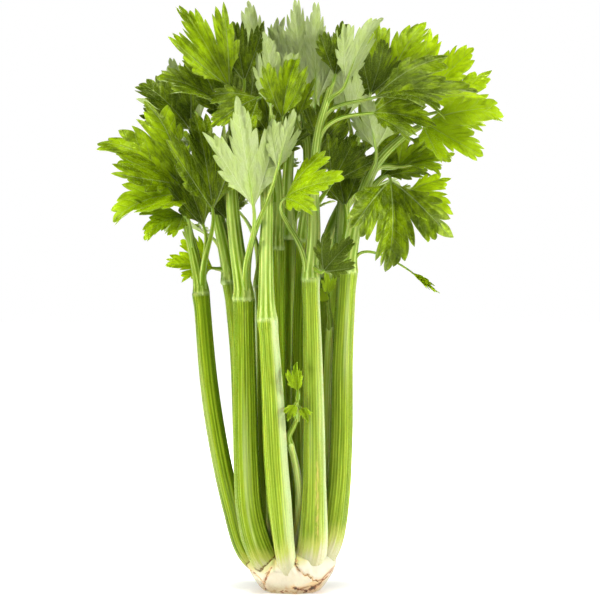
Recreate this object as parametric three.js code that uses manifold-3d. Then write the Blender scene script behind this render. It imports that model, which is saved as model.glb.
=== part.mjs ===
// A head of leaf-topped celery, standing on its cut butt. Millimetres, +Z up, -Y towards the front.
// The origin is the centre of the flat cut face that the head stands on.
// Ribbed stalks rise from the butt in a spiral, and each ends at a knuckle where its compound leaf begins:
// a central leaf stalk with side stems, each carrying one lobed and toothed leaflet.
import * as THREE from "three";
import { mergeVertices } from "three/addons/utils/BufferGeometryUtils.js";
import Module from "manifold-3d";

const wasm = await Module();
wasm.setup();

// ---------------------------------------------------------------- driving dimensions, mm
const GAP = 0.4; // left between a stalk and what it meets
const BLADE_THICKNESS = 0.8;
const FOLD_DEGREES = [10, 38]; // least and most that a leaflet's halves rise from its midrib
const WAVE_SHARE = [0.02, 0.05]; // height of a leaflet's ripple, as shares of its length
const WAVES_ACROSS = 6; // radians of ripple over a width equal to the leaflet's length
const OUTLINE_CHANGE = [0.94, 1.06]; // how far one tooth differs from the next leaflet's
const MIDRIB_HALF = 2; // the fold is rounded this far to each side of the midrib
const RIB_HEIGHT = 0.8;
const STALK_LIP = 2.6; // how far a stalk's two edges stand in past its middle plane
const FULL_DEPTH = 10; // a thinner stalk has its lip and channel scaled down
const STALK_GROOVE = 4.2; // depth of the channel on a stalk's inner side
// The channel's half outline, as [share of the half width, share of the channel's depth]
const CHANNEL = [
  [0.84, 0],
  [0.4, 0.8],
  [0, 1],
];
const KNUCKLE_SHARE = 0.35; // radius of the leaf stalk above the knuckle, as a share of the stalk's width
const KNUCKLE_SWELL = 1.24;
const KNUCKLE_OFFSET = 0.12; // the leaf stalk's centre stands this share of the width out of the middle line
const KNUCKLE_LENGTH = 7; // straight start of the leaf stalk
const LEAF_STALK_TIP = 2.6; // radius of the leaf stalk where its end leaflet begins
const SIDE_STEM_ROOT = [3, 2]; // at the knuckle, and at the end of the leaf stalk
const SIDE_STEM_TIP = 1.3;
const THREAD_STEM_ROOT = 1.5; // where the stem of a narrow leaflet leaves
const SIDE_STEM_OFFSET = 0.75; // how far aside a side stem starts, as a share of the leaf stalk's radius
const LAST_BRANCH = 0.97; // how far up the leaf stalk its end leaflet's stem begins
// How far a side stem keeps its first and last directions, as shares of its reach
const BEND_OUT = 0.45;
const BEND_IN = 0.35;
const LONG_SIDE_STEM = 30; // above this it has three lengths, and otherwise two
const NARROW_LEAFLET = 0.4; // a leaflet narrower than this share of its length has a thread of a stem

const BUTT_HEIGHT = 42;
// [height, radius] up the butt, from the cut face to the top between the stalks
const BUTT_PROFILE = [
  [0, 23.5],
  [3, 27],
  [9, 31.5],
  [16, 35.5],
  [23, 37.5],
  [30, 36],
  [36, 29],
  [42, 18],
];
const BUTT_SIDES = 20;
const BUTT_LOBES = 5;
const BUTT_LOBE_DEPTH = 1.2;

// Along a stalk, from the butt (0) to the knuckle (1): [share of the way, share of its full width, share of
// its full thickness, share of its sheath's extra width].
const STALK_STATIONS = [
  [0, 0.9, 0.8, 0.5],
  [0.05, 1.0, 0.95, 0.9],
  [0.1, 1.0, 1.05, 1],
  [0.18, 1.0, 1.05, 0.7],
  [0.34, 1.02, 1.0, 0.1],
  [0.62, 0.95, 0.97, 0],
  [0.95, 0.79, 0.87, 0],
  [1, 0.86, 1.0, 0],
];
const SHEATH = 0.2; // extra width of a stalk's clasping base, as a share of its width

// Where the leaf stalk's rings stand, from the knuckle (0) to its end leaflet (1).
const LEAF_STALK_STATIONS = [0.04, 0.1, 0.3, 0.55, 0.8, 1];

// Half a leaflet's outline, as [degrees from the midrib, reach from the leaflet's base], from its foot to
// its tip: teeth and notches, in a side lobe and half of the middle lobe.
const LEAFLET_HALF = [
  [58, 0.34],
  [57, 0.62],
  [49, 0.57],
  [42, 0.89],
  [33, 0.75],
  [27, 0.82],
  [21.5, 0.47],
  [16, 0.8],
  [8, 0.82],
];
const LEAFLET_RING = 0.5; // a ring of this reach carries the leaflet's arch

// Each stalk: its middle line from inside the butt to the knuckle, the direction that its ribbed back faces
// (degrees, 0 = +X, 270 = front), full width, thickness, and number of ribs.
const STALKS = {
  stalk_01: {
    line: [[-16, -4, 14], [-36, -6, 34], [-48, -8, 70], [-59, -8, 118], [-68, -7, 175], [-75, -5, 252]],
    facing: 212, width: 17, depth: 10.5, ribs: 5,
  },
  stalk_02: {
    line: [[-10, -12, 13], [-25, -23, 36], [-34, -30, 68], [-37, -34, 110], [-38, -35, 165], [-39, -35, 247]],
    facing: 240, width: 22, depth: 12, ribs: 7,
  },
  stalk_03: {
    line: [[-1, -14, 13], [-5, -32, 32], [-9, -41, 66], [-13, -46, 112], [-16, -48, 170], [-20, -47, 230]],
    facing: 266, width: 20.5, depth: 12, ribs: 7, sheath: -0.2,
  },
  stalk_04: {
    line: [[9, -13, 13], [16, -26, 38], [18, -35, 74], [18, -39, 125], [17, -40, 190], [15, -39, 263]],
    facing: 286, width: 18.5, depth: 11.5, ribs: 6, sheath: 0.5,
  },
  stalk_05: {
    line: [[15, -4, 14], [30, -9, 40], [37, -12, 78], [40, -14, 128], [41, -14, 195], [45, -13, 270]],
    facing: 318, width: 20.5, depth: 11.5, ribs: 7,
  },
  stalk_06: {
    line: [[12, 6, 16], [29, 13, 42], [36, 17, 82], [36, 18, 135], [36, 17, 205], [40, 14, 284]],
    facing: 22, width: 21, depth: 11, ribs: 6,
  },
  stalk_07: {
    line: [[5, 13, 14], [17, 28, 40], [23, 36, 78], [24, 40, 130], [24, 41, 195], [26, 45, 268]],
    facing: 66, width: 22, depth: 11, ribs: 6,
  },
  stalk_08: {
    line: [[-5, 13, 14], [-14, 28, 38], [-20, 38, 76], [-22, 43, 128], [-22, 44, 190], [-24, 48, 258]],
    facing: 108, width: 22, depth: 11, ribs: 6,
  },
  stalk_09: {
    line: [[-13, 7, 15], [-28, 15, 40], [-37, 19, 78], [-40, 21, 130], [-43, 23, 195], [-50, 28, 262]],
    facing: 154, width: 22, depth: 11, ribs: 6,
  },
  stalk_10: {
    line: [[-6, -6, 26], [-11, -9, 52], [-13, -12, 95], [-13, -13, 150], [-13, -13, 215], [-13, -12, 290]],
    facing: 264, width: 17, depth: 9, ribs: 5,
  },
  stalk_11: {
    line: [[6, -5, 26], [9, -8, 52], [9, -11, 95], [8, -13, 150], [8, -13, 220], [10, -11, 296]],
    facing: 280, width: 17, depth: 9, ribs: 5,
  },
  stalk_12: {
    line: [[-1, 5, 27], [-2, 9, 55], [-3, 12, 100], [-3, 13, 160], [-3, 14, 230], [-3, 17, 300]],
    facing: 92, width: 18, depth: 10, ribs: 5,
  },
  heart_stalk_1: {
    line: [[4, -18, 36], [6, -28, 62], [6, -35, 88], [3, -40, 110], [-1, -43, 126]],
    facing: 280, width: 7.5, depth: 4.5, ribs: 3,
  },
  heart_stalk_2: {
    line: [[17, -3, 34], [24, -4, 64], [27, -4, 120], [29, -4, 180], [31, -8, 222]],
    facing: 330, width: 8, depth: 5, ribs: 3,
  },
};

// Each leaf: the way of its central stem on from the knuckle, and its leaflets. A leaflet is
// [where its side stem leaves the central stem (0 to 1), base x, y, z, tip x, y, z, upper face's direction
// x, y, z, width over length, bend in degrees].
const LEAVES = {
  leaf_01: {
    on: "stalk_01",
    stem: [[-82, -6, 282], [-89, -8, 312], [-91, -8, 330]],
    leaflets: [
      [1, -88, -14, 336, -153, -34, 318, -1, -8, 6, 1.05, 40],
      [0.8, -93, -8, 344, -162, -24, 387, -1, -8, 6, 0.95, 35],
      [0.5, -92, -18, 318, -124, -42, 300, 0, -7, 6, 1.0, 40],
      [0.8, -84, 2, 342, -91, 4, 384, -8, -5, 2, 0.65, 30],
      [0.04, -74, -20, 308, -96, -30, 370, 0, -9, 3, 0.6, 30],
      [0.04, -66, -30, 322, -80, -43, 408, 1, -9, 3, 0.7, 35],
    ],
  },
  leaf_02: {
    on: "stalk_02",
    stem: [[-46, -37, 292], [-50, -36, 335], [-50, -34, 380], [-49, -32, 412]],
    leaflets: [
      [1, -52, -36, 424, -94, -44, 496, -2, -8, 5, 0.66, 30],
      [0.85, -62, -42, 412, -112, -48, 432, -1, -6, 7, 0.95, 35],
      [0.85, -28, -44, 414, -66, -62, 388, 0, -8, 5, 0.95, 35],
      [0.9, -40, -24, 430, -50, -22, 484, 0, -8, 4, 0.8, 30],
      [0.04, -31, -70, 322, -46, -89, 405, 1, 9, 2, 0.66, 30],
      [0.04, -12, -70, 352, 3, -78, 400, -3, 9, 3, 0.55, 25],
    ],
  },
  leaf_03: {
    on: "stalk_03",
    stem: [[-21, -50, 272], [-20, -53, 320], [-17, -57, 370], [-16, -60, 398]],
    leaflets: [
      [1, -17, -61, 402, -20, -66, 468, 3, 9, 1, 0.62, 25],
      [0.6, -8, -56, 396, 4, -60, 452, -2, -9, 3, 0.75, 30],
    ],
  },
  leaf_04: {
    on: "stalk_04",
    stem: [[18, -43, 300], [18, -45, 345], [22, -45, 385], [32, -42, 422]],
    leaflets: [
      [0.04, -6, -60, 330, 43, -86, 340, 0, -7, 7, 1.1, 45],
      [0.04, 26, -55, 270, 50, -68, 296, -1, -9, 2, 1.0, 30],
      [1, 36, -38, 432, 46, -26, 482, -1, -8, 2, 0.7, 30],
      [0.9, 44, -50, 424, 70, -56, 484, -3, 8, 3, 0.5, 25],
      [0.8, 68, -46, 414, 150, -58, 412, 0, -6, 7, 0.75, 50],
      [0.7, 66, -56, 400, 118, -66, 388, 0, -8, 6, 0.95, 45],
    ],
  },
  leaf_05: {
    on: "stalk_05",
    stem: [[54, -16, 314], [69, -22, 358], [93, -28, 383], [108, -30, 392]],
    leaflets: [
      [1, 109, -33, 394, 154, -50, 361, 1, -9, 4, 1.15, 35],
      [0.3, 82, -38, 346, 82, -60, 269, 2, -9, 2, 1.0, 35],
      [0.3, 92, -30, 334, 135, -42, 319, 1, -8, 5, 1.0, 35],
      [0.6, 90, -12, 360, 112, -14, 378, 2, -6, 6, 0.9, 30],
      [0.6, 98, -18, 360, 136, -24, 366, 0, -7, 7, 0.8, 35],
      [0.5, 70, -38, 372, 59, -48, 414, 3, 7, 4, 0.95, 30],
      [0.04, 100, -26, 270, 121, -34, 250, 2, -8, 4, 0.22, 30],
    ],
  },
  leaf_06: {
    on: "stalk_06",
    stem: [[44, 10, 330], [52, 6, 376], [66, 2, 406]],
    leaflets: [
      [1, 78, -2, 424, 112, -8, 487, -1, -8, 4, 0.85, 30],
      [0.85, 66, -14, 420, 80, -18, 468, 2, -8, 3, 0.7, 30],
      [0.5, 62, -10, 374, 82, -16, 412, 2, -7, 5, 0.8, 30],
      [0.7, 48, 10, 402, 42, 14, 462, -3, 8, 5, 0.7, 30],
      [0.05, 76, 14, 352, 116, 20, 378, 1, -7, 6, 0.95, 35],
      [0.05, 45, 4, 326, 35, 6, 374, 0, -9, 2, 0.8, 30],
    ],
  },
  leaf_07: {
    on: "stalk_07",
    stem: [[38, 52, 315], [64, 48, 360], [94, 34, 396]],
    leaflets: [
      [1, 112, 26, 418, 156, 14, 460, 1, -8, 5, 1.0, 35],
      [0.9, 128, 14, 408, 182, 4, 406, 1, -8, 4, 1.05, 35],
      [0.7, 80, 70, 392, 112, 108, 424, 3, 5, 8, 0.85, 35],
      [0.05, 62, 80, 342, 96, 120, 350, 4, 5, 7, 0.9, 40],
      [0.05, 74, 42, 330, 124, 48, 338, 4, 0, 8, 0.8, 40],
      [0.8, 88, 36, 398, 100, 34, 440, 1, -8, 5, 0.9, 35],
      [0.85, 104, 36, 386, 137, 33, 366, 1, -8, 5, 0.9, 35],
    ],
  },
  leaf_08: {
    on: "stalk_08",
    stem: [[-22, 62, 310], [-24, 70, 362], [-20, 72, 408]],
    leaflets: [
      [1, -19, 72, 418, -8, 84, 488, 0, 8, 5, 0.8, 30],
      [0.7, -42, 78, 388, -78, 108, 432, -3, 6, 7, 0.85, 35],
      [0.7, 2, 82, 386, 34, 112, 432, 3, 6, 7, 0.85, 35],
      [0.05, -48, 82, 326, -84, 118, 340, -3, 6, 7, 0.9, 40],
      [0.05, 4, 88, 320, 20, 132, 330, 2, 6, 7, 0.9, 40],
      [0.4, -14, 96, 362, -22, 134, 384, 1, 6, 7, 0.9, 35],
    ],
  },
  leaf_09: {
    on: "stalk_09",
    stem: [[-62, 34, 310], [-74, 36, 355], [-84, 34, 388]],
    leaflets: [
      [1, -88, 30, 394, -130, 21, 438, -3, -6, 6, 1.0, 30],
      [0.9, -80, 44, 404, -112, 52, 456, -5, 3, 7, 0.85, 30],
      [0.7, -82, 64, 372, -110, 104, 400, -3, 5, 8, 0.85, 35],
      [0.7, -104, 48, 366, -148, 66, 386, -4, -2, 8, 0.85, 35],
      [0.05, -68, 26, 274, -109, 18, 277, -2, -7, 5, 1.05, 35],
      [0.05, -74, 52, 304, -114, 82, 310, -4, 5, 7, 0.9, 40],
      [0.4, -64, 28, 344, -106, 22, 374, -1, -8, 4, 1.0, 30],
      [0.1, -56, 30, 316, -62, 20, 360, 0, -9, 2, 0.9, 30],
    ],
  },
  leaf_10: {
    on: "stalk_10",
    stem: [[-12, -14, 338], [-18, -14, 386], [-22, -14, 418]],
    leaflets: [
      [1, -24, -15, 426, -37, -6, 500, -1, 9, 3, 0.6, 25],
      [0.7, -40, 0, 396, -68, 2, 454, -1, -8, 4, 1.0, 30],
      [0.05, -28, -22, 344, -46, -18, 394, -3, -8, 4, 0.85, 35],
      [0.3, -17, -21, 366, 0, -21, 408, 0, -9, 2, 0.85, 30],
      [0.6, -18, -24, 384, -25, -28, 430, -1, -8, 4, 0.55, 30],
    ],
  },
  leaf_11: {
    on: "stalk_11",
    stem: [[14, -14, 342], [12, -18, 386], [8, -20, 412]],
    leaflets: [
      [1, 8, -22, 420, 2, -30, 496, 0, 9, 3, 0.62, 25],
      [0.8, 20, -26, 410, 18, -32, 494, 1, 9, 3, 0.5, 25],
      [0.7, 4, -32, 398, 2, -42, 442, -1, -8, 5, 0.65, 35],
      [0.05, 34, -22, 346, 56, -20, 388, 3, -8, 4, 0.85, 35],
      [0.5, 24, -26, 376, 30, -30, 424, 1, -8, 3, 0.7, 30],
    ],
  },
  leaf_12: {
    on: "stalk_12",
    stem: [[-4, 21, 345], [0, 25, 395], [4, 27, 424]],
    leaflets: [
      [1, 4, 27, 432, 8, 30, 494, 0, 7, 6, 0.8, 30],
      [0.7, 30, 38, 414, 62, 46, 468, 3, -6, 6, 0.9, 35],
      [0.7, -24, 30, 410, -56, 32, 466, -3, -6, 6, 0.9, 35],
      [0.05, 24, 30, 358, 46, 26, 408, 2, -8, 4, 1.0, 35],
      [0.05, -24, 28, 356, -36, 22, 408, -2, -8, 4, 1.0, 35],
    ],
  },
  heart_leaf_1: {
    on: "heart_stalk_1",
    stem: [[3, -51, 146], [5, -54, 166]],
    leaflets: [
      [1, 5, -55, 171, 3, -58, 197, -2, -9, 2, 0.7, 40],
      [0.55, 7, -55, 158, 14, -60, 146, 2, -9, 3, 0.75, 45],
      [0.6, 3, -56, 161, -3, -60, 147, -2, -9, 3, 0.8, 45],
    ],
  },
  heart_leaf_2: {
    on: "heart_stalk_2",
    stem: [[31, -11, 240], [31, -12, 250]],
    leaflets: [
      [1, 30, -12, 251, 28, -18, 270, 3, -8, 3, 0.6, 45],
      [0.5, 29, -13, 244, 25, -17, 257, -3, -8, 3, 0.6, 45],
    ],
  },
};

// ---------------------------------------------------------------- small helpers

const vector = (p) => new THREE.Vector3(...p);
const radians = THREE.MathUtils.degToRad;
const between = ([least, most], share) => THREE.MathUtils.lerp(least, most, share);

// A number from 0 to 1 that is always the same for the same leaflet and the same use.
function vary(name, index, use) {
  const leaf = Number(name.match(/\d+/)[0]) + (name.startsWith("heart") ? 20 : 0);
  const x = Math.sin(leaf * 12.9898 + index * 78.233 + use * 37.719) * 43758.5453;
  return x - Math.floor(x);
}

function solid(vertices, triangles) {
  const geometry = new THREE.BufferGeometry();
  geometry.setAttribute("position", new THREE.Float32BufferAttribute(vertices.flat(), 3));
  geometry.setIndex(triangles.flat());
  const merged = mergeVertices(geometry, 1e-5);
  return new wasm.Manifold(
    new wasm.Mesh({
      numProp: 3,
      vertProperties: merged.attributes.position.array,
      triVerts: new Uint32Array(merged.index.array),
    }),
  );
}

// Closed body through rings of points that all run the same way round, counter-clockwise seen from its end.
function loft(rings) {
  const n = rings[0].length;
  const triangles = [];
  for (let k = 0; k + 1 < rings.length; k++) {
    for (let i = 0; i < n; i++) {
      const [a, b] = [k * n + i, k * n + ((i + 1) % n)];
      triangles.push([a, b, b + n], [a, b + n, a + n]);
    }
  }
  const last = (rings.length - 1) * n;
  const first = THREE.ShapeUtils.triangulateShape(flat(rings[0]), []);
  const end = THREE.ShapeUtils.triangulateShape(flat(rings.at(-1)), []);
  first.forEach(([a, b, c]) => triangles.push([a, c, b]));
  end.forEach(([a, b, c]) => triangles.push([last + a, last + b, last + c]));
  return solid(rings.flat().map((p) => p.toArray()), triangles);
}

// A ring's points in its own plane, running counter-clockwise.
function flat(ring) {
  const middle = ring.reduce((sum, p) => sum.add(p), new THREE.Vector3()).divideScalar(ring.length);
  const normal = new THREE.Vector3();
  ring.forEach((p, i) => {
    const next = ring[(i + 1) % ring.length];
    normal.add(p.clone().sub(middle).cross(next.clone().sub(middle)));
  });
  normal.normalize();
  const across = ring[0].clone().sub(middle);
  across.addScaledVector(normal, -across.dot(normal)).normalize();
  const up = normal.clone().cross(across);
  return ring.map((p) => {
    const q = p.clone().sub(middle);
    return new THREE.Vector2(q.dot(across), q.dot(up));
  });
}

function curveThrough(points) {
  return new THREE.CatmullRomCurve3(points, false, "centripetal");
}

// Rings of a round stem along a curve, at stations of [share of the way, radius]. The last ring's first
// point lies towards side.
function stemRings(curve, stations, sides, side) {
  const rings = [];
  let across = side.clone();
  for (const [t, radius] of stations.toReversed()) {
    const middle = curve.getPointAt(t);
    const along = curve.getTangentAt(t);
    across = across.clone().addScaledVector(along, -across.dot(along)).normalize();
    const up = along.clone().cross(across);
    rings.unshift(
      Array.from({ length: sides }, (_, i) => {
        const angle = (2 * Math.PI * i) / sides;
        return middle
          .clone()
          .addScaledVector(across, radius * Math.cos(angle))
          .addScaledVector(up, radius * Math.sin(angle));
      }),
    );
  }
  return rings;
}

// ---------------------------------------------------------------- butt

// The short solid stem that every stalk grows from, cut flat below.
function butt(grow) {
  const rings = BUTT_PROFILE.map(([height, radius]) =>
    Array.from({ length: BUTT_SIDES }, (_, i) => {
      const angle = (2 * Math.PI * i) / BUTT_SIDES;
      const lobe = (BUTT_LOBE_DEPTH * Math.cos(BUTT_LOBES * angle + 1) * height) / BUTT_HEIGHT;
      const r = radius + lobe + grow;
      return new THREE.Vector3(r * Math.cos(angle), r * Math.sin(angle), height + grow);
    }),
  );
  return loft(rings);
}

// ---------------------------------------------------------------- stalks

// The crescent outline of a stalk: a ribbed back, two rounded edges, and a channel on the inner side.
// Returns [across, outward] pairs.
function crescent(width, depth, ribs, grow) {
  const half = width / 2 + grow;
  const points = [];
  for (let i = 0; i <= 2 * ribs; i++) {
    const turn = Math.PI * (i / (2 * ribs));
    const rib = i % 2 ? RIB_HEIGHT / 2 : -RIB_HEIGHT / 2;
    const lift = i === 0 || i === 2 * ribs ? 0 : rib;
    points.push([-(half + lift) * Math.cos(turn), (depth + grow + lift) * Math.sin(turn)]);
  }
  const lip = -STALK_LIP * Math.min(1, depth / FULL_DEPTH) - grow;
  const groove = STALK_GROOVE * Math.min(1, depth / FULL_DEPTH);
  CHANNEL.forEach(([across, deep]) => points.push([half * across, lip + groove * deep]));
  CHANNEL.slice(0, -1)
    .reverse()
    .forEach(([across, deep]) => points.push([-half * across, lip + groove * deep]));
  return points;
}

function stalkAxes(curve, t, facing) {
  const along = curve.getTangentAt(t);
  const outward = new THREE.Vector3(Math.cos(radians(facing)), Math.sin(radians(facing)), 0);
  outward.addScaledVector(along, -outward.dot(along)).normalize();
  const across = outward.clone().cross(along);
  return { middle: curve.getPointAt(t), along, outward, across };
}

function stalk({ line, facing, width, depth, ribs, sheath = SHEATH }, grow) {
  const curve = curveThrough(line.map(vector));
  const rings = STALK_STATIONS.map(([t, wide, thick, clasp]) => {
    const { middle, outward, across } = stalkAxes(curve, t, facing);
    const outline = crescent(width * (wide + clasp * sheath), depth * thick, ribs, grow);
    return outline
      .map(([a, b]) => middle.clone().addScaledVector(across, a).addScaledVector(outward, b))
      .reverse();
  });
  return loft(rings);
}

// ---------------------------------------------------------------- leaves

// Places a leaflet: its length along the arch, its own axes, and where any point of it lies.
function leafletSurface(name, index, row) {
  const [, bx, by, bz, tx, ty, tz, fx, fy, fz, wide, bendDegrees] = row;
  const base = new THREE.Vector3(bx, by, bz);
  const chord = new THREE.Vector3(tx, ty, tz).sub(base);
  const along = chord.clone().normalize();
  const up = new THREE.Vector3(fx, fy, fz);
  up.addScaledVector(along, -up.dot(along)).normalize();
  const across = up.clone().cross(along);
  const bend = radians(bendDegrees);
  const radius = chord.length() / (2 * Math.sin(bend / 2));
  const length = radius * bend;
  const fold = radians(between(FOLD_DEGREES, vary(name, index, 1)));
  const wave = length * between(WAVE_SHARE, vary(name, index, 2));
  const phase = 2 * Math.PI * vary(name, index, 3);
  // u runs along the midrib and v across it, both in mm on the flat leaflet.
  const at = (u, v, lift) => {
    const turn = u / radius - bend / 2;
    const x = radius * (Math.sin(turn) + Math.sin(bend / 2));
    const z = radius * (Math.cos(turn) - Math.cos(bend / 2));
    const reach = Math.hypot(u, v) / length;
    const ripple = wave * reach * reach * Math.sin((WAVES_ACROSS * v) / length + phase);
    const rise = (Math.hypot(v, MIDRIB_HALF) - MIDRIB_HALF) * Math.sin(fold) + ripple + lift;
    return base
      .clone()
      .addScaledVector(along, x + rise * Math.sin(turn))
      .addScaledVector(across, v * Math.cos(fold))
      .addScaledVector(up, z + rise * Math.cos(turn));
  };
  return { at, length, wide, base };
}

// The whole outline, foot to tip to foot, as [u, v] in mm.
function leafletOutline(name, index, length, wide) {
  const side = (sign, use) =>
    LEAFLET_HALF.map(([degrees, reach], k) => {
      const own = between(OUTLINE_CHANGE, vary(name, index, use + k));
      const angle = radians(degrees);
      return [length * reach * own * Math.cos(angle), sign * wide * length * reach * own * Math.sin(angle)];
    });
  return [...side(-1, 10), [length, 0], ...side(1, 20).reverse()];
}

// The path of a leaflet's own stem: off along the central stem, and on into the leaflet's midrib.
function sideStemPath(curve, from, surface, rootRadius) {
  const leave = Math.min(from, LAST_BRANCH);
  const root = curve.getPointAt(leave);
  const leaving = curve.getTangentAt(leave);
  const arriving = surface.at(1, 0, 0).sub(surface.base).normalize();
  const aim = surface.base.clone().sub(root);
  const reach = aim.length();
  const aside = aim.clone().addScaledVector(leaving, -aim.dot(leaving)).normalize();
  root.addScaledVector(aside, SIDE_STEM_OFFSET * rootRadius * (1 - leave));
  return new THREE.CubicBezierCurve3(
    root,
    root.clone().addScaledVector(leaving, reach * BEND_OUT),
    surface.base.clone().addScaledVector(arriving, -reach * BEND_IN),
    surface.base,
  );
}

// One leaflet with its stem, as one closed body: the stem's last ring is also the foot of the blade, which
// thins from there to its edge.
function leaflet(curve, name, index, row, rootRadius) {
  const surface = leafletSurface(name, index, row);
  const { at, length, wide } = surface;
  const path = sideStemPath(curve, row[0], surface, rootRadius);
  const steps = path.getLength() > LONG_SIDE_STEM ? 3 : 2;
  const left = at(0, 1, 0).sub(at(0, -1, 0)).normalize();
  const narrow = wide < NARROW_LEAFLET;
  const stemRoot = narrow ? THREAD_STEM_ROOT : between(SIDE_STEM_ROOT, row[0]);
  const tipRadius = narrow ? BLADE_THICKNESS : SIDE_STEM_TIP;
  const stations = Array.from({ length: steps + 1 }, (_, k) => {
    return [k / steps, between([stemRoot, tipRadius], k / steps)];
  });
  const stem = stemRings(path, stations, 4, left);
  const vertices = stem.flat();
  const triangles = [[0, 2, 1], [0, 3, 2]];
  for (let k = 0; k < 4 * steps; k++) {
    const next = k % 4 === 3 ? k - 3 : k + 1;
    triangles.push([k, next, next + 4], [k, next + 4, k + 4]);
  }
  const [footLeft, footTop, footRight, footUnder] = [0, 1, 2, 3].map((k) => 4 * steps + k);

  const outline = leafletOutline(name, index, length, wide);
  const ringed = [0, 4, 9, 14, outline.length - 1]; // outline points that the inner ring lines up with
  const ring = ringed.map((k) => outline[k].map((x) => x * LEAFLET_RING));
  const points = [...ring, ...outline];
  const half = BLADE_THICKNESS / 2;
  const [over, under] = [half, -half].map((lift) => {
    const first = vertices.length;
    points.forEach(([u, v]) => vertices.push(at(u, v, lift)));
    return first;
  });
  for (const [first, foot, flip] of [[over, footTop, false], [under, footUnder, true]]) {
    const face = (a, b, c) => triangles.push(flip ? [a, c, b] : [a, b, c]);
    const edge = (k) => first + ring.length + k;
    face(foot, footRight, first);
    for (let k = 0; k + 1 < ring.length; k++) {
      face(foot, first + k, first + k + 1);
      const split = Math.round((ringed[k] + ringed[k + 1]) / 2);
      for (let i = ringed[k]; i < ringed[k + 1]; i++) {
        face(i < split ? first + k : first + k + 1, edge(i), edge(i + 1));
      }
      face(first + k, edge(split), first + k + 1);
    }
    face(foot, first + ring.length - 1, footLeft);
  }
  const rim = [0, ...outline.map((_, k) => ring.length + k), ring.length - 1];
  triangles.push([footRight, under, over]);
  for (let k = 0; k + 1 < rim.length; k++) {
    const [a, b] = [rim[k], rim[k + 1]];
    triangles.push([over + a, under + b, over + b], [over + a, under + a, under + b]);
  }
  const last = ring.length - 1;
  triangles.push([over + last, under + last, footLeft]);
  return solid(vertices.map((p) => p.toArray()), triangles);
}

function leaf(name, { on, stem: way, leaflets }) {
  const { line, facing, width, ribs } = STALKS[on];
  const { middle, along, outward, across } = stalkAxes(curveThrough(line.map(vector)), 1, facing);
  const start = middle.clone().addScaledVector(along, GAP).addScaledVector(outward, width * KNUCKLE_OFFSET);
  const upright = start.clone().addScaledVector(along, KNUCKLE_LENGTH);
  const curve = curveThrough([start, upright, ...way.map(vector)]);
  const small = ribs < 4;
  const rootRadius = width * KNUCKLE_SHARE;
  const tipRadius = small ? SIDE_STEM_TIP : LEAF_STALK_TIP;
  const sides = small ? 5 : 6;
  const stations = LEAF_STALK_STATIONS.map((t) => [t, between([rootRadius, tipRadius], t)]);
  stations.unshift([0, rootRadius * KNUCKLE_SWELL]);
  const pieces = [loft(stemRings(curve, stations, sides, across))];
  leaflets.forEach((row, index) => pieces.push(leaflet(curve, name, index, row, rootRadius)));
  return wasm.Manifold.union(pieces);
}

// ---------------------------------------------------------------- the head

const flesh = new THREE.MeshStandardMaterial({ color: 0xe9e6cf, roughness: 0.6, metalness: 0 });
const green = new THREE.MeshStandardMaterial({ color: 0x9fbf4a, roughness: 0.4, metalness: 0 });
const blade = new THREE.MeshStandardMaterial({ color: 0x5f8f1c, roughness: 0.45, metalness: 0 });
const young = new THREE.MeshStandardMaterial({ color: 0xb5cf3c, roughness: 0.45, metalness: 0 });

const head = new THREE.Group();

function add(name, made, material) {
  const parts = made.decompose().sort((a, b) => b.volume() - a.volume());
  const { numProp, vertProperties, triVerts } = parts[0].getMesh();
  const geometry = new THREE.BufferGeometry();
  const places = [];
  for (let i = 0; i < vertProperties.length; i += numProp) {
    places.push(vertProperties[i], vertProperties[i + 1], vertProperties[i + 2]);
  }
  geometry.setAttribute("position", new THREE.Float32BufferAttribute(places, 3));
  geometry.setIndex(new THREE.BufferAttribute(triVerts, 1));
  const mesh = new THREE.Mesh(geometry, material);
  mesh.name = name;
  head.add(mesh);
}

add("butt", butt(0), flesh);

// Each stalk is cut back from the butt and from the stalks before it, so that the bases fit face to face.
let taken = butt(GAP);
for (const [name, row] of Object.entries(STALKS)) {
  const made = stalk(row, 0).subtract(taken);
  add(name, made, row.ribs < 4 ? young : green);
  taken = taken.add(stalk(row, GAP));
}

for (const [name, row] of Object.entries(LEAVES)) {
  add(name, leaf(name, row), name.startsWith("heart") ? young : blade);
}

export default head;
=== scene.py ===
# A head of celery with its leaves on, standing on its trimmed butt. Metres, +Z up, -Y towards the front.
# The origin is the centre of the flat cut face. Sizes in the tables are millimetres.
import math

import bpy
import numpy as np
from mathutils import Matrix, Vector
from mathutils.geometry import delaunay_2d_cdt


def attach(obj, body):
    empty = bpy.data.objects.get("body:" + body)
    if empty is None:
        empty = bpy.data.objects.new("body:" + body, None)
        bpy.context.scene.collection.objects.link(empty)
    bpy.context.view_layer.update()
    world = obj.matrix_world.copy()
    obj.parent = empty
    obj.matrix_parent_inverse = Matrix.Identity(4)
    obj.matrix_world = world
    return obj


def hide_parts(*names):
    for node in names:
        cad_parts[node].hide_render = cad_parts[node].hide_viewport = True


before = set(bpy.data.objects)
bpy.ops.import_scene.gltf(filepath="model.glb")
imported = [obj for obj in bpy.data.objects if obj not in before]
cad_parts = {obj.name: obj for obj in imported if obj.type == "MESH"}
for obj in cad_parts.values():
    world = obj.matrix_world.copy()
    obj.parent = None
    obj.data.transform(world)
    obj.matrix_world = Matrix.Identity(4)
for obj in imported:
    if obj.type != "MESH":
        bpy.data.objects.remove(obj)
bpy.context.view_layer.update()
bpy.ops.object.select_all(action="DESELECT")

MM = 0.001

# ---------------------------------------------------------------- the butt
# The short solid stem that every stalk grows from: crisp white flesh, swollen under each stalk and creased
# between them, trimmed flat with a knife. Torn brown skin is left where outer stalks were pulled away.

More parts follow.
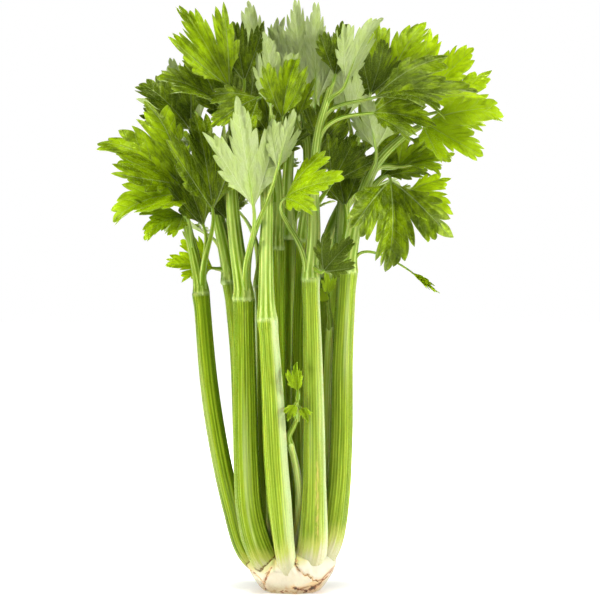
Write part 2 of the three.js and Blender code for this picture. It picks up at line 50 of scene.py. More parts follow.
# [height, radius] from the cut face to the top between the stalks
BUTT_PROFILE = ((0, 23.5), (3, 27), (9, 31.5), (16, 35.5), (23, 37.5), (30, 36), (36, 29), (42, 18))
FOOT_RADIUS = BUTT_PROFILE[0][1]
BUTT_TOP, TOP_RADIUS = BUTT_PROFILE[-1]
PROFILE_ROUNDING = (200, 25)  # samples of the line, and how many of them a corner is rounded over
BUTT_SIDES = 300
BUTT_RINGS = 84
TOP_INSETS = 4
TOP_INSET_SHARE = 0.19
BUTT_LOBE_DEPTH = 1.2
LUMP_HEIGHT = 0.35
MM_A_DEGREE = 34 * math.pi / 180  # round the butt's girth
# Directions that stalks leave in, degrees; the creases lie midway between them
STALK_DIRECTIONS = (22, 66, 108, 154, 192, 238, 266, 286, 318)
# Heights over which the swelling and the creases fade in, and out again
SWELL_STARTS, SWELL_ENDS = (12, 24), (34, 42)
SWELL_DEPTH = 1.6
SWELL_WIDTH = 14  # degrees
CREASE_DEPTH = 1.5
CREASE_WIDTH = 3.5  # degrees
# Where the skins of outer stalks were torn off, as [degrees, height] along each torn edge
TORN_EDGES = (
    ((243, 24), (235, 16), (225, 11), (217, 7), (214, 3.4)),
    ((184, 30), (200, 20), (212, 15), (222, 11)),
    ((276, 29), (273, 26), (283, 20), (293, 15.5), (301, 13.5), (315, 10.5), (327, 12), (340, 20), (352, 30)),
    ((325, 10.5), (315, 6), (309, 4.2), (299, 2.2)),
    ((28, 30), (44, 20), (62, 13), (84, 16), (96, 26)),
    ((104, 30), (120, 21), (138, 12), (158, 17), (172, 28)),
    ((254, 2.5), (266, 3), (278, 5), (290, 3.5)),
)
TORN_RUNS = [run for edge in TORN_EDGES for run in zip(edge, edge[1:])]
TORN_DEPTH = 0.9
TORN_WIDTH = 0.9
# How the torn edges wander up and down: [how far, how fast round the butt, start]
TORN_JAGS = ((0.9, 0.31, 0), (0.5, 0.77, 1), (0.22, 2.3, 0))
LIP_HEIGHT = 0.7
LIP_RISE = 2.6  # the lip's middle is this far above its torn edge
LIP_WIDTH = 2.0
# Bruised spots, [degrees, height, half width]
BRUISES = ((310, 4.6, 2.2), (299, 2.4, 1.8), (278, 5.2, 1.5), (216, 3.0, 1.6), (247, 1.6, 1.2),
           (274, 27, 1.5), (70, 6.0, 1.8), (140, 4.0, 1.5), (325, 9.0, 1.4))
# The knife's flats round the foot: [direction, degrees from level, distance from the middle]
TRIM_CUTS = ((250, 52, 21.5), (300, 48, 21.8), (205, 40, 22.4), (340, 55, 22.0), (30, 45, 22.2),
             (95, 50, 21.6), (150, 42, 22.4), (272, 30, 24.5))


def smooth_step(low, high, value):
    share = np.clip((value - low) / (high - low), 0, 1)
    return share * share * (3 - 2 * share)


def hump(away, width):
    """1 at no distance, falling off over a width."""
    return np.exp(-((away / width) ** 2))


def angle_apart(a, b):
    return (a - b + 180) % 360 - 180


def read_rounded(at, x, y, samples, window):
    """Reads a line through corners x, y that is rounded over a window of its samples."""
    fine = np.linspace(0, x[-1], samples)
    kernel = np.hanning(window) / np.hanning(window).sum()
    padded = np.pad(np.interp(fine, x, y), window // 2, mode="edge")
    return np.interp(at, fine, np.convolve(padded, kernel, mode="valid"))


def torn_edges(degrees, height):
    """How near each point lies to a torn edge, and how far it stands on the lip above one (0 to 1)."""
    near, lip = np.zeros_like(degrees), np.zeros_like(degrees)
    jagged = sum(far * np.sin(degrees * rate + start) for far, rate, start in TORN_JAGS)
    for (from_degrees, from_height), (to_degrees, to_height) in TORN_RUNS:
        run = np.array([angle_apart(to_degrees, from_degrees) * MM_A_DEGREE, to_height - from_height])
        x = angle_apart(degrees, from_degrees) * MM_A_DEGREE
        y = height + jagged - from_height
        share = np.clip((x * run[0] + y * run[1]) / (run @ run), 0, 1)
        beside = x - share * run[0]
        near = np.maximum(near, hump(np.hypot(beside, y - share * run[1]), TORN_WIDTH))
        lip = np.maximum(lip, hump(np.hypot(beside, y - LIP_RISE - share * run[1]), LIP_WIDTH))
    return near, lip


def butt_radius(degrees, height):
    """Radius of the butt's skin, and how torn or creased it is (0 to 1)."""
    radius = read_rounded(height, *zip(*BUTT_PROFILE), *PROFILE_ROUNDING)
    radius = radius + BUTT_LOBE_DEPTH * np.cos(np.radians(degrees) * 5 + 1) * height / BUTT_TOP
    crease, swell = np.zeros_like(degrees), np.zeros_like(degrees)
    for here, after in zip(STALK_DIRECTIONS, STALK_DIRECTIONS[1:] + STALK_DIRECTIONS[:1]):
        between_stalks = (here + angle_apart(after, here) / 2) % 360
        bend = 5 * np.sin(height * 0.16 + between_stalks)
        crease = np.maximum(crease, hump(angle_apart(degrees, between_stalks + bend), CREASE_WIDTH))
        swell = np.maximum(swell, hump(angle_apart(degrees, here), SWELL_WIDTH))
    lift = smooth_step(*SWELL_STARTS, height) * (1 - smooth_step(*SWELL_ENDS, height))
    around = np.radians(degrees)
    lumps = 0.5 * np.sin(around * 11 + height * 0.31) + 0.35 * np.sin(around * 23 - height * 0.55 + 2)
    near, lip = torn_edges(degrees, height)
    low = smooth_step(0, 4, height)
    radius = radius + lift * (SWELL_DEPTH * swell - CREASE_DEPTH * crease) + low * lumps * LUMP_HEIGHT
    radius = radius + low * (LIP_HEIGHT * lip - TORN_DEPTH * np.minimum(near, 1))
    return radius, np.maximum(0.35 * crease * lift, near)


class Field:
    """One output of a shader node. Arithmetic on numbers adds Math nodes to the same tree."""

    def __init__(self, socket):
        self.socket = socket

    def into(self, kind, inputs, output=0, **settings):
        return field(self.socket.id_data, kind, inputs, output, **settings)

    def math(self, operation, *others):
        return self.into("ShaderNodeMath", enumerate((self, *others)), operation=operation)

    def __add__(self, other):
        return self.math("ADD", other)

    def __sub__(self, other):
        return self.math("SUBTRACT", other)

    def __mul__(self, other):
        return self.math("MULTIPLY", other)

    def __truediv__(self, other):
        return self.math("DIVIDE", other)

    def spread(self, low, high, to_low=0.0, to_high=1.0):
        """This number from low..high onto to_low..to_high, smoothed."""
        inputs = {0: self, 1: low, 2: high, 3: to_low, 4: to_high}
        return self.into("ShaderNodeMapRange", inputs, interpolation_type="SMOOTHSTEP")

    def mix(self, low, high, way="MIX"):
        """The colour that is low where this share is 0 and high where it is 1."""
        return self.into("ShaderNodeMix", {0: self, 6: low, 7: high}, 2, data_type="RGBA", blend_type=way)

    def choose(self, low, high):
        """The number that is low where this share is 0 and high where it is 1."""
        return self.into("ShaderNodeMix", {0: self, 2: low, 3: high})

    def axes(self):
        tree = self.socket.id_data
        return [Field(axis) for axis in add_node(tree, "ShaderNodeSeparateXYZ", {0: self}).outputs]

    def stretched(self, *scale):
        return self.into("ShaderNodeMapping", {"Vector": self, "Scale": scale})

    def noise(self, scale, detail=3.0, roughness=0.55):
        inputs = {"Vector": self, "Scale": scale, "Detail": detail, "Roughness": roughness}
        return self.into("ShaderNodeTexNoise", inputs, "Fac")

    def cells(self, scale, feature="F1"):
        inputs = {"Vector": self, "Scale": scale}
        return self.into("ShaderNodeTexVoronoi", inputs, "Distance", feature=feature)

    def bump(self, distance, strength=1.0):
        return self.into("ShaderNodeBump", {"Height": self, "Distance": distance, "Strength": strength})


def add_node(tree, kind, inputs=(), **settings):
    """Adds a shader node. An input is a field or a plain value, and a colour is three numbers."""
    made = tree.nodes.new(kind)
    for name, value in settings.items():
        setattr(made, name, value)
    for name, value in dict(inputs).items():
        socket = made.inputs[name]
        if isinstance(value, Field):
            tree.links.new(value.socket, socket)
        else:
            socket.default_value = (*value, 1) if socket.type == "RGBA" else value
    return made


def field(tree, kind, inputs=(), output=0, **settings):
    return Field(add_node(tree, kind, inputs, **settings).outputs[output])


def attribute(tree, name, output="Fac"):
    return field(tree, "ShaderNodeAttribute", output=output, attribute_name=name)


def object_place(tree):
    return field(tree, "ShaderNodeTexCoord", output="Object")


def new_material(name):
    """A material whose node tree is empty, and that tree."""
    material = bpy.data.materials.new(name)
    material.use_nodes = True
    material.node_tree.nodes.clear()
    return material, material.node_tree


def butt_flesh():
    """White flesh, green under the stalks and tan at the foot, with torn brown edges and dark bruises."""
    material, tree = new_material("butt_flesh")
    place = object_place(tree)
    across, deep, height = place.axes()
    mottle = place.noise(55, 4)
    fibre = place.stretched(420, 420, 40).noise(1.0, 3)
    flesh = mottle.mix((0.49, 0.445, 0.335), (0.60, 0.56, 0.455))
    flesh = fibre.spread(0.55, 0.75, 0, 0.35).mix(flesh, (0.62, 0.56, 0.36))
    wavy_height = height + mottle * 0.014 + across * -0.22
    flesh = wavy_height.spread(0.027, 0.042).mix(flesh, (0.39, 0.40, 0.12))
    flesh = height.spread(0.010, 0.001, 0, 0.6).mix(flesh, (0.62, 0.50, 0.27))
    grit = place.noise(160, 5, 0.65)
    torn = attribute(tree, "crease")
    halo = torn.spread(0.05, 0.65) * mottle.spread(0.40, 0.60, 0.15, 0.75)
    flesh = halo.mix(flesh, (0.66, 0.45, 0.22))
    stain = torn.spread(0.55, 0.95) * grit.spread(0.34, 0.54)
    foot_stain = height.spread(0.012, 0.001) * grit.spread(0.48, 0.66) * 0.75
    stain = stain.math("MAXIMUM", foot_stain).math("MAXIMUM", torn.spread(1.2, 1.9))
    flesh = stain.mix(flesh, grit.spread(0.45, 0.7).mix((0.16, 0.065, 0.022), (0.46, 0.27, 0.10)))
    turn = deep.math("ARCTAN2", across)
    bruise_radius = BUTT_PROFILE[2][1]
    for middle, level, half in BRUISES:
        apart = turn - math.radians(middle)
        beside = apart.math("SINE") * (bruise_radius / half * 0.5)
        above = (height - level * MM) / (half * MM)
        off = (above * above + beside * beside).math("SQRT") + grit.spread(0.34, 0.66, 0.55, -0.75)
        bruise = off.spread(0.5, 0.1).mix((0.22, 0.09, 0.035), (0.035, 0.028, 0.022))
        this_side = apart.math("COSINE").math("GREATER_THAN", 0.0)
        flesh = (off.spread(1.0, 0.6, 0, 0.9) * this_side).mix(flesh, bruise)
    bundle_dots = height.spread(0.0006, 0.0001) * place.cells(330).spread(0.28, 0.12, 0, 0.6)
    flesh = bundle_dots.mix(flesh, (0.50, 0.40, 0.20))
    skin = field(tree, "ShaderNodeBsdfPrincipled", {
        "Base Color": flesh,
        "Roughness": mottle.spread(0.3, 0.7, 0.38, 0.58),
        "Normal": (fibre + grit).bump(0.0004),
        "Subsurface Weight": 0.25,
        "Subsurface Scale": 0.004,
    })
    add_node(tree, "ShaderNodeOutputMaterial", {0: skin})
    return material


def select_only(piece):
    bpy.ops.object.select_all(action="DESELECT")
    piece.select_set(True)
    bpy.context.view_layer.objects.active = piece


def finish_piece(piece, node, smooth_degrees):
    """Smooths the piece, lets it stand for its CAD node, and fixes it to the head."""
    select_only(piece)
    bpy.ops.object.shade_smooth_by_angle(angle=math.radians(smooth_degrees))
    piece.select_set(False)
    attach(piece, "root")
    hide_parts(node)


def add_values(mesh, name, values):
    """Gives each point of a mesh one number, or three."""
    values = np.asarray(values, dtype=np.float32)
    kind, entry = ("FLOAT_VECTOR", "vector") if values.ndim > 1 else ("FLOAT", "value")
    mesh.attributes.new(name, kind, "POINT").data.foreach_set(entry, values.ravel())


def new_piece(name, points, faces, values):
    """An object from points in millimetres and faces, with its points' values by name."""
    mesh = bpy.data.meshes.new(name)
    mesh.from_pydata((np.asarray(points) * MM).tolist(), [], faces)
    for value_name, numbers in values.items():
        add_values(mesh, value_name, numbers)
    piece = bpy.data.objects.new(name, mesh)
    bpy.context.collection.objects.link(piece)
    return piece


def turn_faces_outward():
    """Turns the open piece's faces outward and leaves Edit mode."""
    bpy.ops.mesh.select_all(action="SELECT")
    bpy.ops.mesh.normals_make_consistent(inside=False)
    bpy.ops.mesh.select_all(action="DESELECT")
    bpy.ops.object.mode_set(mode="OBJECT")


def butt_points():
    """The butt's points in millimetres, and each one's direction in degrees."""
    points = np.array([v.co[:] for v in butt.data.vertices]) / MM
    return points, np.degrees(np.arctan2(points[:, 1], points[:, 0]))


bpy.ops.mesh.primitive_circle_add(vertices=BUTT_SIDES, radius=FOOT_RADIUS * MM, fill_type="NGON")
butt = bpy.context.object
butt.name = butt.data.name = "butt_cut_and_creased"
bpy.ops.object.mode_set(mode="EDIT")
bpy.ops.mesh.select_all(action="SELECT")
for ring in range(BUTT_RINGS):
    bpy.ops.mesh.extrude_region_move(TRANSFORM_OT_translate={"value": (0, 0, BUTT_TOP / BUTT_RINGS * MM)})
for inset in range(TOP_INSETS):
    bpy.ops.mesh.inset(thickness=TOP_RADIUS * TOP_INSET_SHARE * MM)
bpy.ops.mesh.select_all(action="DESELECT")
bpy.ops.object.mode_set(mode="OBJECT")
points, degrees = butt_points()
first_radius = np.hypot(points[:, 0], points[:, 1])
radius = butt_radius(degrees, points[:, 2])[0]
radius = np.where(first_radius > FOOT_RADIUS - 0.5, radius, radius * (first_radius / FOOT_RADIUS))
butt.data.vertices.foreach_set("co", (np.column_stack([
    radius * np.cos(np.radians(degrees)), radius * np.sin(np.radians(degrees)), points[:, 2],
]) * MM).ravel())
bpy.ops.object.mode_set(mode="EDIT")
for direction, tilt, reach in TRIM_CUTS:
    way, lean = math.radians(direction), math.radians(tilt)
    normal = (math.cos(way) * math.sin(lean), math.sin(way) * math.sin(lean), -math.cos(lean))
    point = (reach * math.cos(way) * MM, reach * math.sin(way) * MM, 0)
    bpy.ops.mesh.select_all(action="SELECT")
    bpy.ops.mesh.bisect(plane_co=point, plane_no=normal, use_fill=True, clear_outer=True)
turn_faces_outward()
points, degrees = butt_points()
add_values(butt.data, "crease", butt_radius(degrees, points[:, 2])[1])

FLAKE_RINGS = 7
FLAKE_HALF_THICK = 0.12
FLAKES_A_RUN = 2  # along each straight run of a torn edge
FLAKE_HEIGHTS = (-0.5, 1.0)  # above that edge
FLAKE_SLANTS = (-30, 22)  # degrees from the run of the edge
FLAKES_BACKWARD = 0.4  # share of flakes that point the other way
FLAKE_LENGTHS = (2.5, 7.0)
FLAKE_WIDTHS = (0.3, 0.9)
FLAKE_ROOT = 0.6  # how deep a flake starts in the skin
FLAKE_RISE, FLAKE_CURL = 0.9, 0.5  # how far its tip stands off, evenly and curling
DRY = 2.0  # the "crease" value that colours a flake as dry skin throughout


def torn_flake(degrees, height, slant, length, width):
    """A dry ribbon of torn skin: rings of four points, rooted in a torn edge and curling off its tip."""
    points = []
    for w in np.arange(FLAKE_RINGS) / (FLAKE_RINGS - 1):
        turn = degrees + math.cos(slant) * length * w / MM_A_DEGREE
        z = max(1.0, height + math.sin(slant) * length * w)
        skin = butt_radius(np.array([turn]), np.array([z]))[0][0]
        radius = skin - FLAKE_ROOT + FLAKE_RISE * w + FLAKE_CURL * w * w
        half = width / 2 * (1 - w) ** 0.6 + 0.05
        for along, out in ((-half, -1), (half, -1), (half, 1), (-half, 1)):
            angle = math.radians(turn - math.sin(slant) * along / MM_A_DEGREE)
            reach = radius + out * FLAKE_HALF_THICK
            points.append((reach * math.cos(angle), reach * math.sin(angle), z + math.cos(slant) * along))
    return points


def loft_faces(rings, around, first=0):
    """Faces of a tube of rings, closed at both ends."""
    faces = []
    for start in range(first, first + (rings - 1) * around, around):
        for i in range(around):
            a, b = start + i, start + (i + 1) % around
            faces.append((a, b, b + around, a + around))
    last = first + (rings - 1) * around
    return faces + [tuple(range(first + around - 1, first - 1, -1)), tuple(range(last, last + around))]


chance = np.random.default_rng(5)
flake_points, flake_faces = [], []
for (from_degrees, from_height), (to_degrees, to_height) in TORN_RUNS:
    turned, climbed = angle_apart(to_degrees, from_degrees), to_height - from_height
    for flake in range(FLAKES_A_RUN):
        w = chance.uniform(0, 1)
        height = from_height + climbed * w + chance.uniform(*FLAKE_HEIGHTS)
        slant = math.atan2(climbed, turned * MM_A_DEGREE) + math.radians(chance.uniform(*FLAKE_SLANTS))
        slant += math.pi * (chance.uniform(0, 1) < FLAKES_BACKWARD)
        length, width = chance.uniform(*FLAKE_LENGTHS), chance.uniform(*FLAKE_WIDTHS)
        flake_faces.extend(loft_faces(FLAKE_RINGS, 4, len(flake_points)))
        flake_points.extend(torn_flake(from_degrees + turned * w, height, slant, length, width))
flakes = new_piece("torn_flakes", flake_points, flake_faces, {"crease": np.full(len(flake_points), DRY)})
select_only(flakes)
bpy.ops.object.mode_set(mode="EDIT")
turn_faces_outward()
butt.select_set(True)
bpy.context.view_layer.objects.active = butt
bpy.ops.object.join()
butt.data.materials.clear()
butt.data.materials.append(butt_flesh())
finish_piece(butt, "butt", 35)

# ---------------------------------------------------------------- the stalks
# Each stalk is a thick crisp rib, crescent in section: a back with raised pale strings, two rounded edges
# and a smooth channel inside. It widens and whitens into the butt and ends above at a knuckle.

RIB_HEIGHT = 0.8
RIB_MEAN, RIB_UNEVEN = 0.66, 0.34  # share of that height, and how much it differs from rib to rib
FINE_RIB = 0.35  # the low string in the middle of each groove, as a share of a rib
RIB_SINK = 0.42  # the skin between the ribs lies this share of a rib's height below the plain back
RIB_WANDER, WANDER_RATE = 0.03, 0.021  # how far ribs shift round the back, and how fast along it
STALK_LIP = 2.6
LIP_MIDDLE, LIP_HALF = 0.16, 0.17  # the rounded edge across the channel, as shares of its half width
FULL_DEPTH = 10
STALK_GROOVE = 4.2
SHEATH = 0.2
STALK_RINGS = 104
FOOT_SHARE = 0.2  # the lowest part of a stalk, which takes a third of its rings
POINTS_A_RIB = 10
CHANNEL_POINTS = 25
# The rings that round off the knuckle: how far past the end, and what share of the section is left
KNUCKLE_RISES = (0.8, 1.6, 2.2)
KNUCKLE_SECTIONS = (0.96, 0.88, 0.74)
KNUCKLE_PALENESS = 0.4
SECTION_MIDDLE = 3  # the rounding rings shrink about this far out from the middle line
JOINT_WIDTH = 1.5
# How brown and dry the line is where each stalk's foot leaves the butt
TORN_JOINTS = {"stalk_01": 0.7, "stalk_02": 1.0, "stalk_03": 0.0, "stalk_04": 0.22, "stalk_05": 0.2}
OTHER_JOINTS = 0.6
# Stalks whose left edge takes a painted highlight, as from the left side light; the others take it along
# the right edge, and inner ones along none
LEFT_HIGHLIT_RIMS = ("stalk_01", "stalk_02", "stalk_09")
INNER_STALKS = ("stalk_10", "stalk_11", "stalk_12")
# Where the painted rim highlight starts and ends its fading, in radians round the back: right edges, then
# left ones
RIM_HIGHLIGHT_REACH = ((0.70, 1.20), (0.30, 0.80))
# How pale each stalk's skin is, from deep green (0) to pale (1)
STALK_TONES = {"stalk_01": 0.20, "stalk_02": 0.38, "stalk_03": 0.62, "stalk_04": 0.75, "stalk_05": 0.62}
OTHER_STALK_TONES = 0.4
STATION_ROUNDING = (401, 35)
# [share of the way, share of full width, share of full thickness, share of the sheath's extra width]
STALK_STATIONS = np.array((
    (0, 0.9, 0.8, 0.5),
    (0.05, 1.0, 0.95, 0.9),
    (0.1, 1.0, 1.05, 1),
    (0.18, 1.0, 1.05, 0.7),
    (0.34, 1.02, 1.0, 0.1),
    (0.62, 0.95, 0.97, 0),
    (0.95, 0.79, 0.87, 0),
    (1, 0.86, 1.0, 0),
))

# name: middle line, direction that the back faces, width, thickness, ribs, sheath
STALKS = {
    "stalk_01": (((-16, -4, 14), (-36, -6, 34), (-48, -8, 70), (-59, -8, 118), (-68, -7, 175),
                  (-75, -5, 252)), 212, 17, 10.5, 5, SHEATH),
    "stalk_02": (((-10, -12, 13), (-25, -23, 36), (-34, -30, 68), (-37, -34, 110),
                  (-38, -35, 165), (-39, -35, 247)), 240, 22, 12, 7, SHEATH),
    "stalk_03": (((-1, -14, 13), (-5, -32, 32), (-9, -41, 66), (-13, -46, 112), (-16, -48, 170),
                  (-20, -47, 230)), 266, 20.5, 12, 7, -0.2),
    "stalk_04": (((9, -13, 13), (16, -26, 38), (18, -35, 74), (18, -39, 125), (17, -40, 190),
                  (15, -39, 263)), 286, 18.5, 11.5, 6, 0.5),
    "stalk_05": (((15, -4, 14), (30, -9, 40), (37, -12, 78), (40, -14, 128), (41, -14, 195),
                  (45, -13, 270)), 318, 20.5, 11.5, 7, SHEATH),
    "stalk_06": (((12, 6, 16), (29, 13, 42), (36, 17, 82), (36, 18, 135), (36, 17, 205), (40, 14, 284)),
                 22, 21, 11, 6, SHEATH),
    "stalk_07": (((5, 13, 14), (17, 28, 40), (23, 36, 78), (24, 40, 130), (24, 41, 195), (26, 45, 268)),
                 66, 22, 11, 6, SHEATH),
    "stalk_08": (((-5, 13, 14), (-14, 28, 38), (-20, 38, 76), (-22, 43, 128), (-22, 44, 190),
                  (-24, 48, 258)), 108, 22, 11, 6, SHEATH),
    "stalk_09": (((-13, 7, 15), (-28, 15, 40), (-37, 19, 78), (-40, 21, 130), (-43, 23, 195),
                  (-50, 28, 262)), 154, 22, 11, 6, SHEATH),
    "stalk_10": (((-6, -6, 26), (-11, -9, 52), (-13, -12, 95), (-13, -13, 150), (-13, -13, 215),
                  (-13, -12, 290)), 264, 17, 9, 5, SHEATH),
    "stalk_11": (((6, -5, 26), (9, -8, 52), (9, -11, 95), (8, -13, 150), (8, -13, 220), (10, -11, 296)),
                 280, 17, 9, 5, SHEATH),
    "stalk_12": (((-1, 5, 27), (-2, 9, 55), (-3, 12, 100), (-3, 13, 160), (-3, 14, 230), (-3, 17, 300)),
                 92, 18, 10, 5, SHEATH),
    "heart_stalk_1": (((4, -18, 36), (6, -28, 62), (6, -35, 88), (3, -40, 110), (-1, -43, 126)),
                      280, 7.5, 4.5, 3, SHEATH),
    "heart_stalk_2": (((17, -3, 34), (24, -4, 64), (27, -4, 120), (29, -4, 180), (31, -8, 222)),
                      330, 8, 5, 3, SHEATH),
}


def unit(v):
    return v / np.linalg.norm(v, axis=-1, keepdims=True)


class GrowthLine:
    """A smooth line through points, read by share of its length: where it is, and which way it runs."""

    def __init__(self, points):
        p = np.array(points, dtype=float)
        p = np.vstack([2 * p[0] - p[1], p, 2 * p[-1] - p[-2]])
        run = []
        w = np.linspace(0, 1, 60, endpoint=False)[:, None]
        for a, b, c, d in zip(p, p[1:], p[2:], p[3:]):
            gap_a, gap_b, gap_c = (np.linalg.norm(y - x) ** 0.5 for x, y in ((a, b), (b, c), (c, d)))
            out = ((b - a) / gap_a - (c - a) / (gap_a + gap_b) + (c - b) / gap_b) * gap_b
            back = ((c - b) / gap_b - (d - b) / (gap_b + gap_c) + (d - c) / gap_c) * gap_b
            square, cube = 3 * (c - b) - 2 * out - back, 2 * (b - c) + out + back
            run.append(b + out * w + square * w**2 + cube * w**3)
        self.points = np.vstack([*run, p[-2:-1]])
        steps = np.linalg.norm(np.diff(self.points, axis=0), axis=1)
        self.length = steps.sum()
        self.shares = np.concatenate([[0], np.cumsum(steps)]) / self.length

    def at(self, share):
        return np.stack([np.interp(share, self.shares, self.points[:, k]) for k in range(3)], axis=-1)

    def way(self, share):
        return unit(self.at(np.clip(share + 0.004, 0, 1)) - self.at(np.clip(share - 0.004, 0, 1)))


def station_values(share, column):
    return read_rounded(share, STALK_STATIONS[:, 0], STALK_STATIONS[:, column], *STATION_ROUNDING)


def stalk_axes(line, share, facing):
    """Middle, along, outward and across directions of a stalk at each share of the way."""
    along = line.way(share)
    outward = np.array([math.cos(math.radians(facing)), math.sin(math.radians(facing)), 0])
    outward = unit(outward - along * (along @ outward)[..., None])
    return line.at(share), along, outward, np.cross(outward, along)


def make_stalk(name, points, facing, width, depth, ribs, sheath, seed):
    """A stalk, whose points know where they grew, how ribbed, torn and toned they are, and how pale: painted
    rim highlight, pale knuckle.
    """
    line = GrowthLine(points)
    foot_rings = STALK_RINGS // 3
    share = np.concatenate([
        np.linspace(0, FOOT_SHARE, foot_rings, endpoint=False),
        np.linspace(FOOT_SHARE, 1, STALK_RINGS - foot_rings),
        np.ones(len(KNUCKLE_RISES)),
    ])
    rise = np.concatenate([np.zeros(STALK_RINGS), KNUCKLE_RISES])
    section = np.concatenate([np.ones(STALK_RINGS), KNUCKLE_SECTIONS])[:, None]
    middle, along, outward, across = stalk_axes(line, share, facing)
    middle = middle + along * rise[:, None]
    wide = width / 2 * (station_values(share, 1) + station_values(share, 3) * sheath)
    thick = depth * station_values(share, 2)
    run = share * line.length
    small = min(1, depth / FULL_DEPTH)

    # The back: turn goes from one edge round to the other
    turn = np.linspace(0, math.pi, ribs * POINTS_A_RIB + 1)
    shifted = turn + RIB_WANDER * np.sin(run[:, None] * WANDER_RATE + seed) * np.sin(turn)
    main_rib = np.abs(np.sin(ribs * shifted)) ** 5
    fine_rib = np.abs(np.cos(ribs * shifted)) ** 7
    each = RIB_MEAN + RIB_UNEVEN * np.sin(np.floor(turn / math.pi * ribs - 1e-6) * 2.4 + seed)
    edge = smooth_step(0.02, 0.22, np.minimum(turn, math.pi - turn))
    lift = RIB_HEIGHT * (each * main_rib + FINE_RIB * fine_rib - RIB_SINK) * edge
    lift = lift * smooth_step(0.0, 0.16, share)[:, None] * small
    back_a = -(wide[:, None] + lift) * np.cos(shifted)
    back_b = (thick[:, None] + lift) * np.sin(shifted)

    # The channel: side goes from one rounded edge across to the other
    side = np.linspace(1, -1, CHANNEL_POINTS)[1:-1]
    near_edge = 1 - np.abs(side)
    lip = -STALK_LIP * small * np.sqrt(np.clip(1 - ((near_edge - LIP_MIDDLE) / LIP_HALF) ** 2, 0, 1))
    channel = -STALK_LIP * small + STALK_GROOVE * small * smooth_step(LIP_MIDDLE, 1.0, near_edge)
    inner_a = wide[:, None] * side
    inner_b = np.where(near_edge < LIP_MIDDLE, lip, channel) + 0 * inner_a

    a = np.concatenate([back_a, inner_a], axis=1) * section
    b = (np.concatenate([back_b, inner_b], axis=1) - SECTION_MIDDLE) * section + SECTION_MIDDLE
    where = middle[:, None, :] + across[:, None, :] * a[..., None] + outward[:, None, :] * b[..., None]
    where = where.reshape(-1, 3)
    around = a.shape[1]
    growth = np.stack([a, b, np.repeat(run[:, None] + seed * 500, around, axis=1)], axis=-1)
    rib = np.concatenate([(each * main_rib + 0.5 * fine_rib) * edge, np.full(inner_b.shape, 0.35)], axis=1)
    # The rim value: a painted highlight along the edge that faces a side light, and the real pale ring below
    # the knuckle
    left = name in LEFT_HIGHLIT_RIMS
    from_highlit_rim = np.concatenate([math.pi - turn if left else turn, np.full(len(side), math.pi / 2)])
    rim = (1 - smooth_step(*RIM_HIGHLIGHT_REACH[left], from_highlit_rim)) * (name not in INNER_STALKS)
    rim = np.maximum(rim, KNUCKLE_PALENESS * smooth_step(1.0, 0.4, line.length - run)[:, None])
    x, y, z = where.T
    off_butt = np.hypot(x, y) - butt_radius(np.degrees(np.arctan2(y, x)), z)[0]
    faces = [face[::-1] for face in loft_faces(len(share), around)]
    return new_piece(name + "_ribbed", where, faces, {
        "growth": growth.reshape(-1, 3),
        "rib": rib.ravel(),
        "rim": rim.ravel(),
        "joint": hump(off_butt, JOINT_WIDTH) * (z < BUTT_TOP) * TORN_JOINTS.get(name, OTHER_JOINTS),
        "tone": np.full(rim.size, STALK_TONES.get(name, OTHER_STALK_TONES)),
    })


def new_group(name, given, results):
    """A shader group with these sockets, and its inputs as fields."""
    group = bpy.data.node_groups.new(name, "ShaderNodeTree")
    for way, sockets in (("INPUT", given), ("OUTPUT", results)):
        for socket, kind in sockets.items():
            group.interface.new_socket(socket, in_out=way, socket_type="NodeSocket" + kind)
    inputs = group.nodes.new("NodeGroupInput").outputs
    return group, [Field(inputs[socket]) for socket in given]


def place_group(tree, group, given, results):
    """Places a group in a tree with these inputs, and returns the named outputs."""
    outputs = add_node(tree, "ShaderNodeGroup", given, node_tree=group).outputs
    return [Field(outputs[name]) for name in results]


def celery_skin_group():
    """Ribbed celery skin: pale strings on green, fine lengthwise fibres, and blanched near the butt."""
    group, (growth, rib, blanched, groove_colour, rib_colour) = new_group(
        "celery_skin",
        {"Growth": "Vector", "Rib": "Float", "Blanched": "Float",
         "Groove Color": "Color", "Rib Color": "Color"},
        {"Color": "Color", "Roughness": "Float", "Height": "Float"},
    )
    fibres = growth.stretched(1.5, 1.5, 0.018).noise(1.0, 4, 0.6)
    bands = growth.stretched(0.28, 0.28, 0.010).noise(1.0, 2)
    cells = growth.stretched(1.2, 1.2, 0.9).noise(1.0, 3)
    broad = growth.stretched(0.10, 0.10, 0.0035).noise(1.0, 2)
    pale = rib.spread(0.05, 0.60) * fibres.spread(0.30, 0.60, 0.45, 1.0)
    green = pale.mix(groove_colour, rib_colour)
    green = bands.spread(0.38, 0.66, 0, 0.40).mix(green, rib_colour)
    green = broad.spread(0.52, 0.70, 0, 0.60).mix(green, (0.47, 0.53, 0.26))
    green = broad.spread(0.47, 0.33, 0, 0.55).mix(green, groove_colour)
    green = fibres.spread(0.62, 0.46, 0, 0.26).mix(green, (0.055, 0.105, 0.0005))
    blanching = blanched + bands.spread(0.3, 0.7, -0.16, 0.16) + rib * 0.10
    yellowed = blanching.spread(0.15, 0.60).mix(green, (0.345, 0.37, 0.09))
    add_node(group, "NodeGroupOutput", {
        "Color": blanching.spread(0.55, 0.95).mix(yellowed, (0.43, 0.40, 0.275)),
        "Roughness": cells.spread(0.3, 0.7, 0.24, 0.38),
        "Height": fibres + cells * 0.25,
    })
    return group


celery_skin = celery_skin_group()


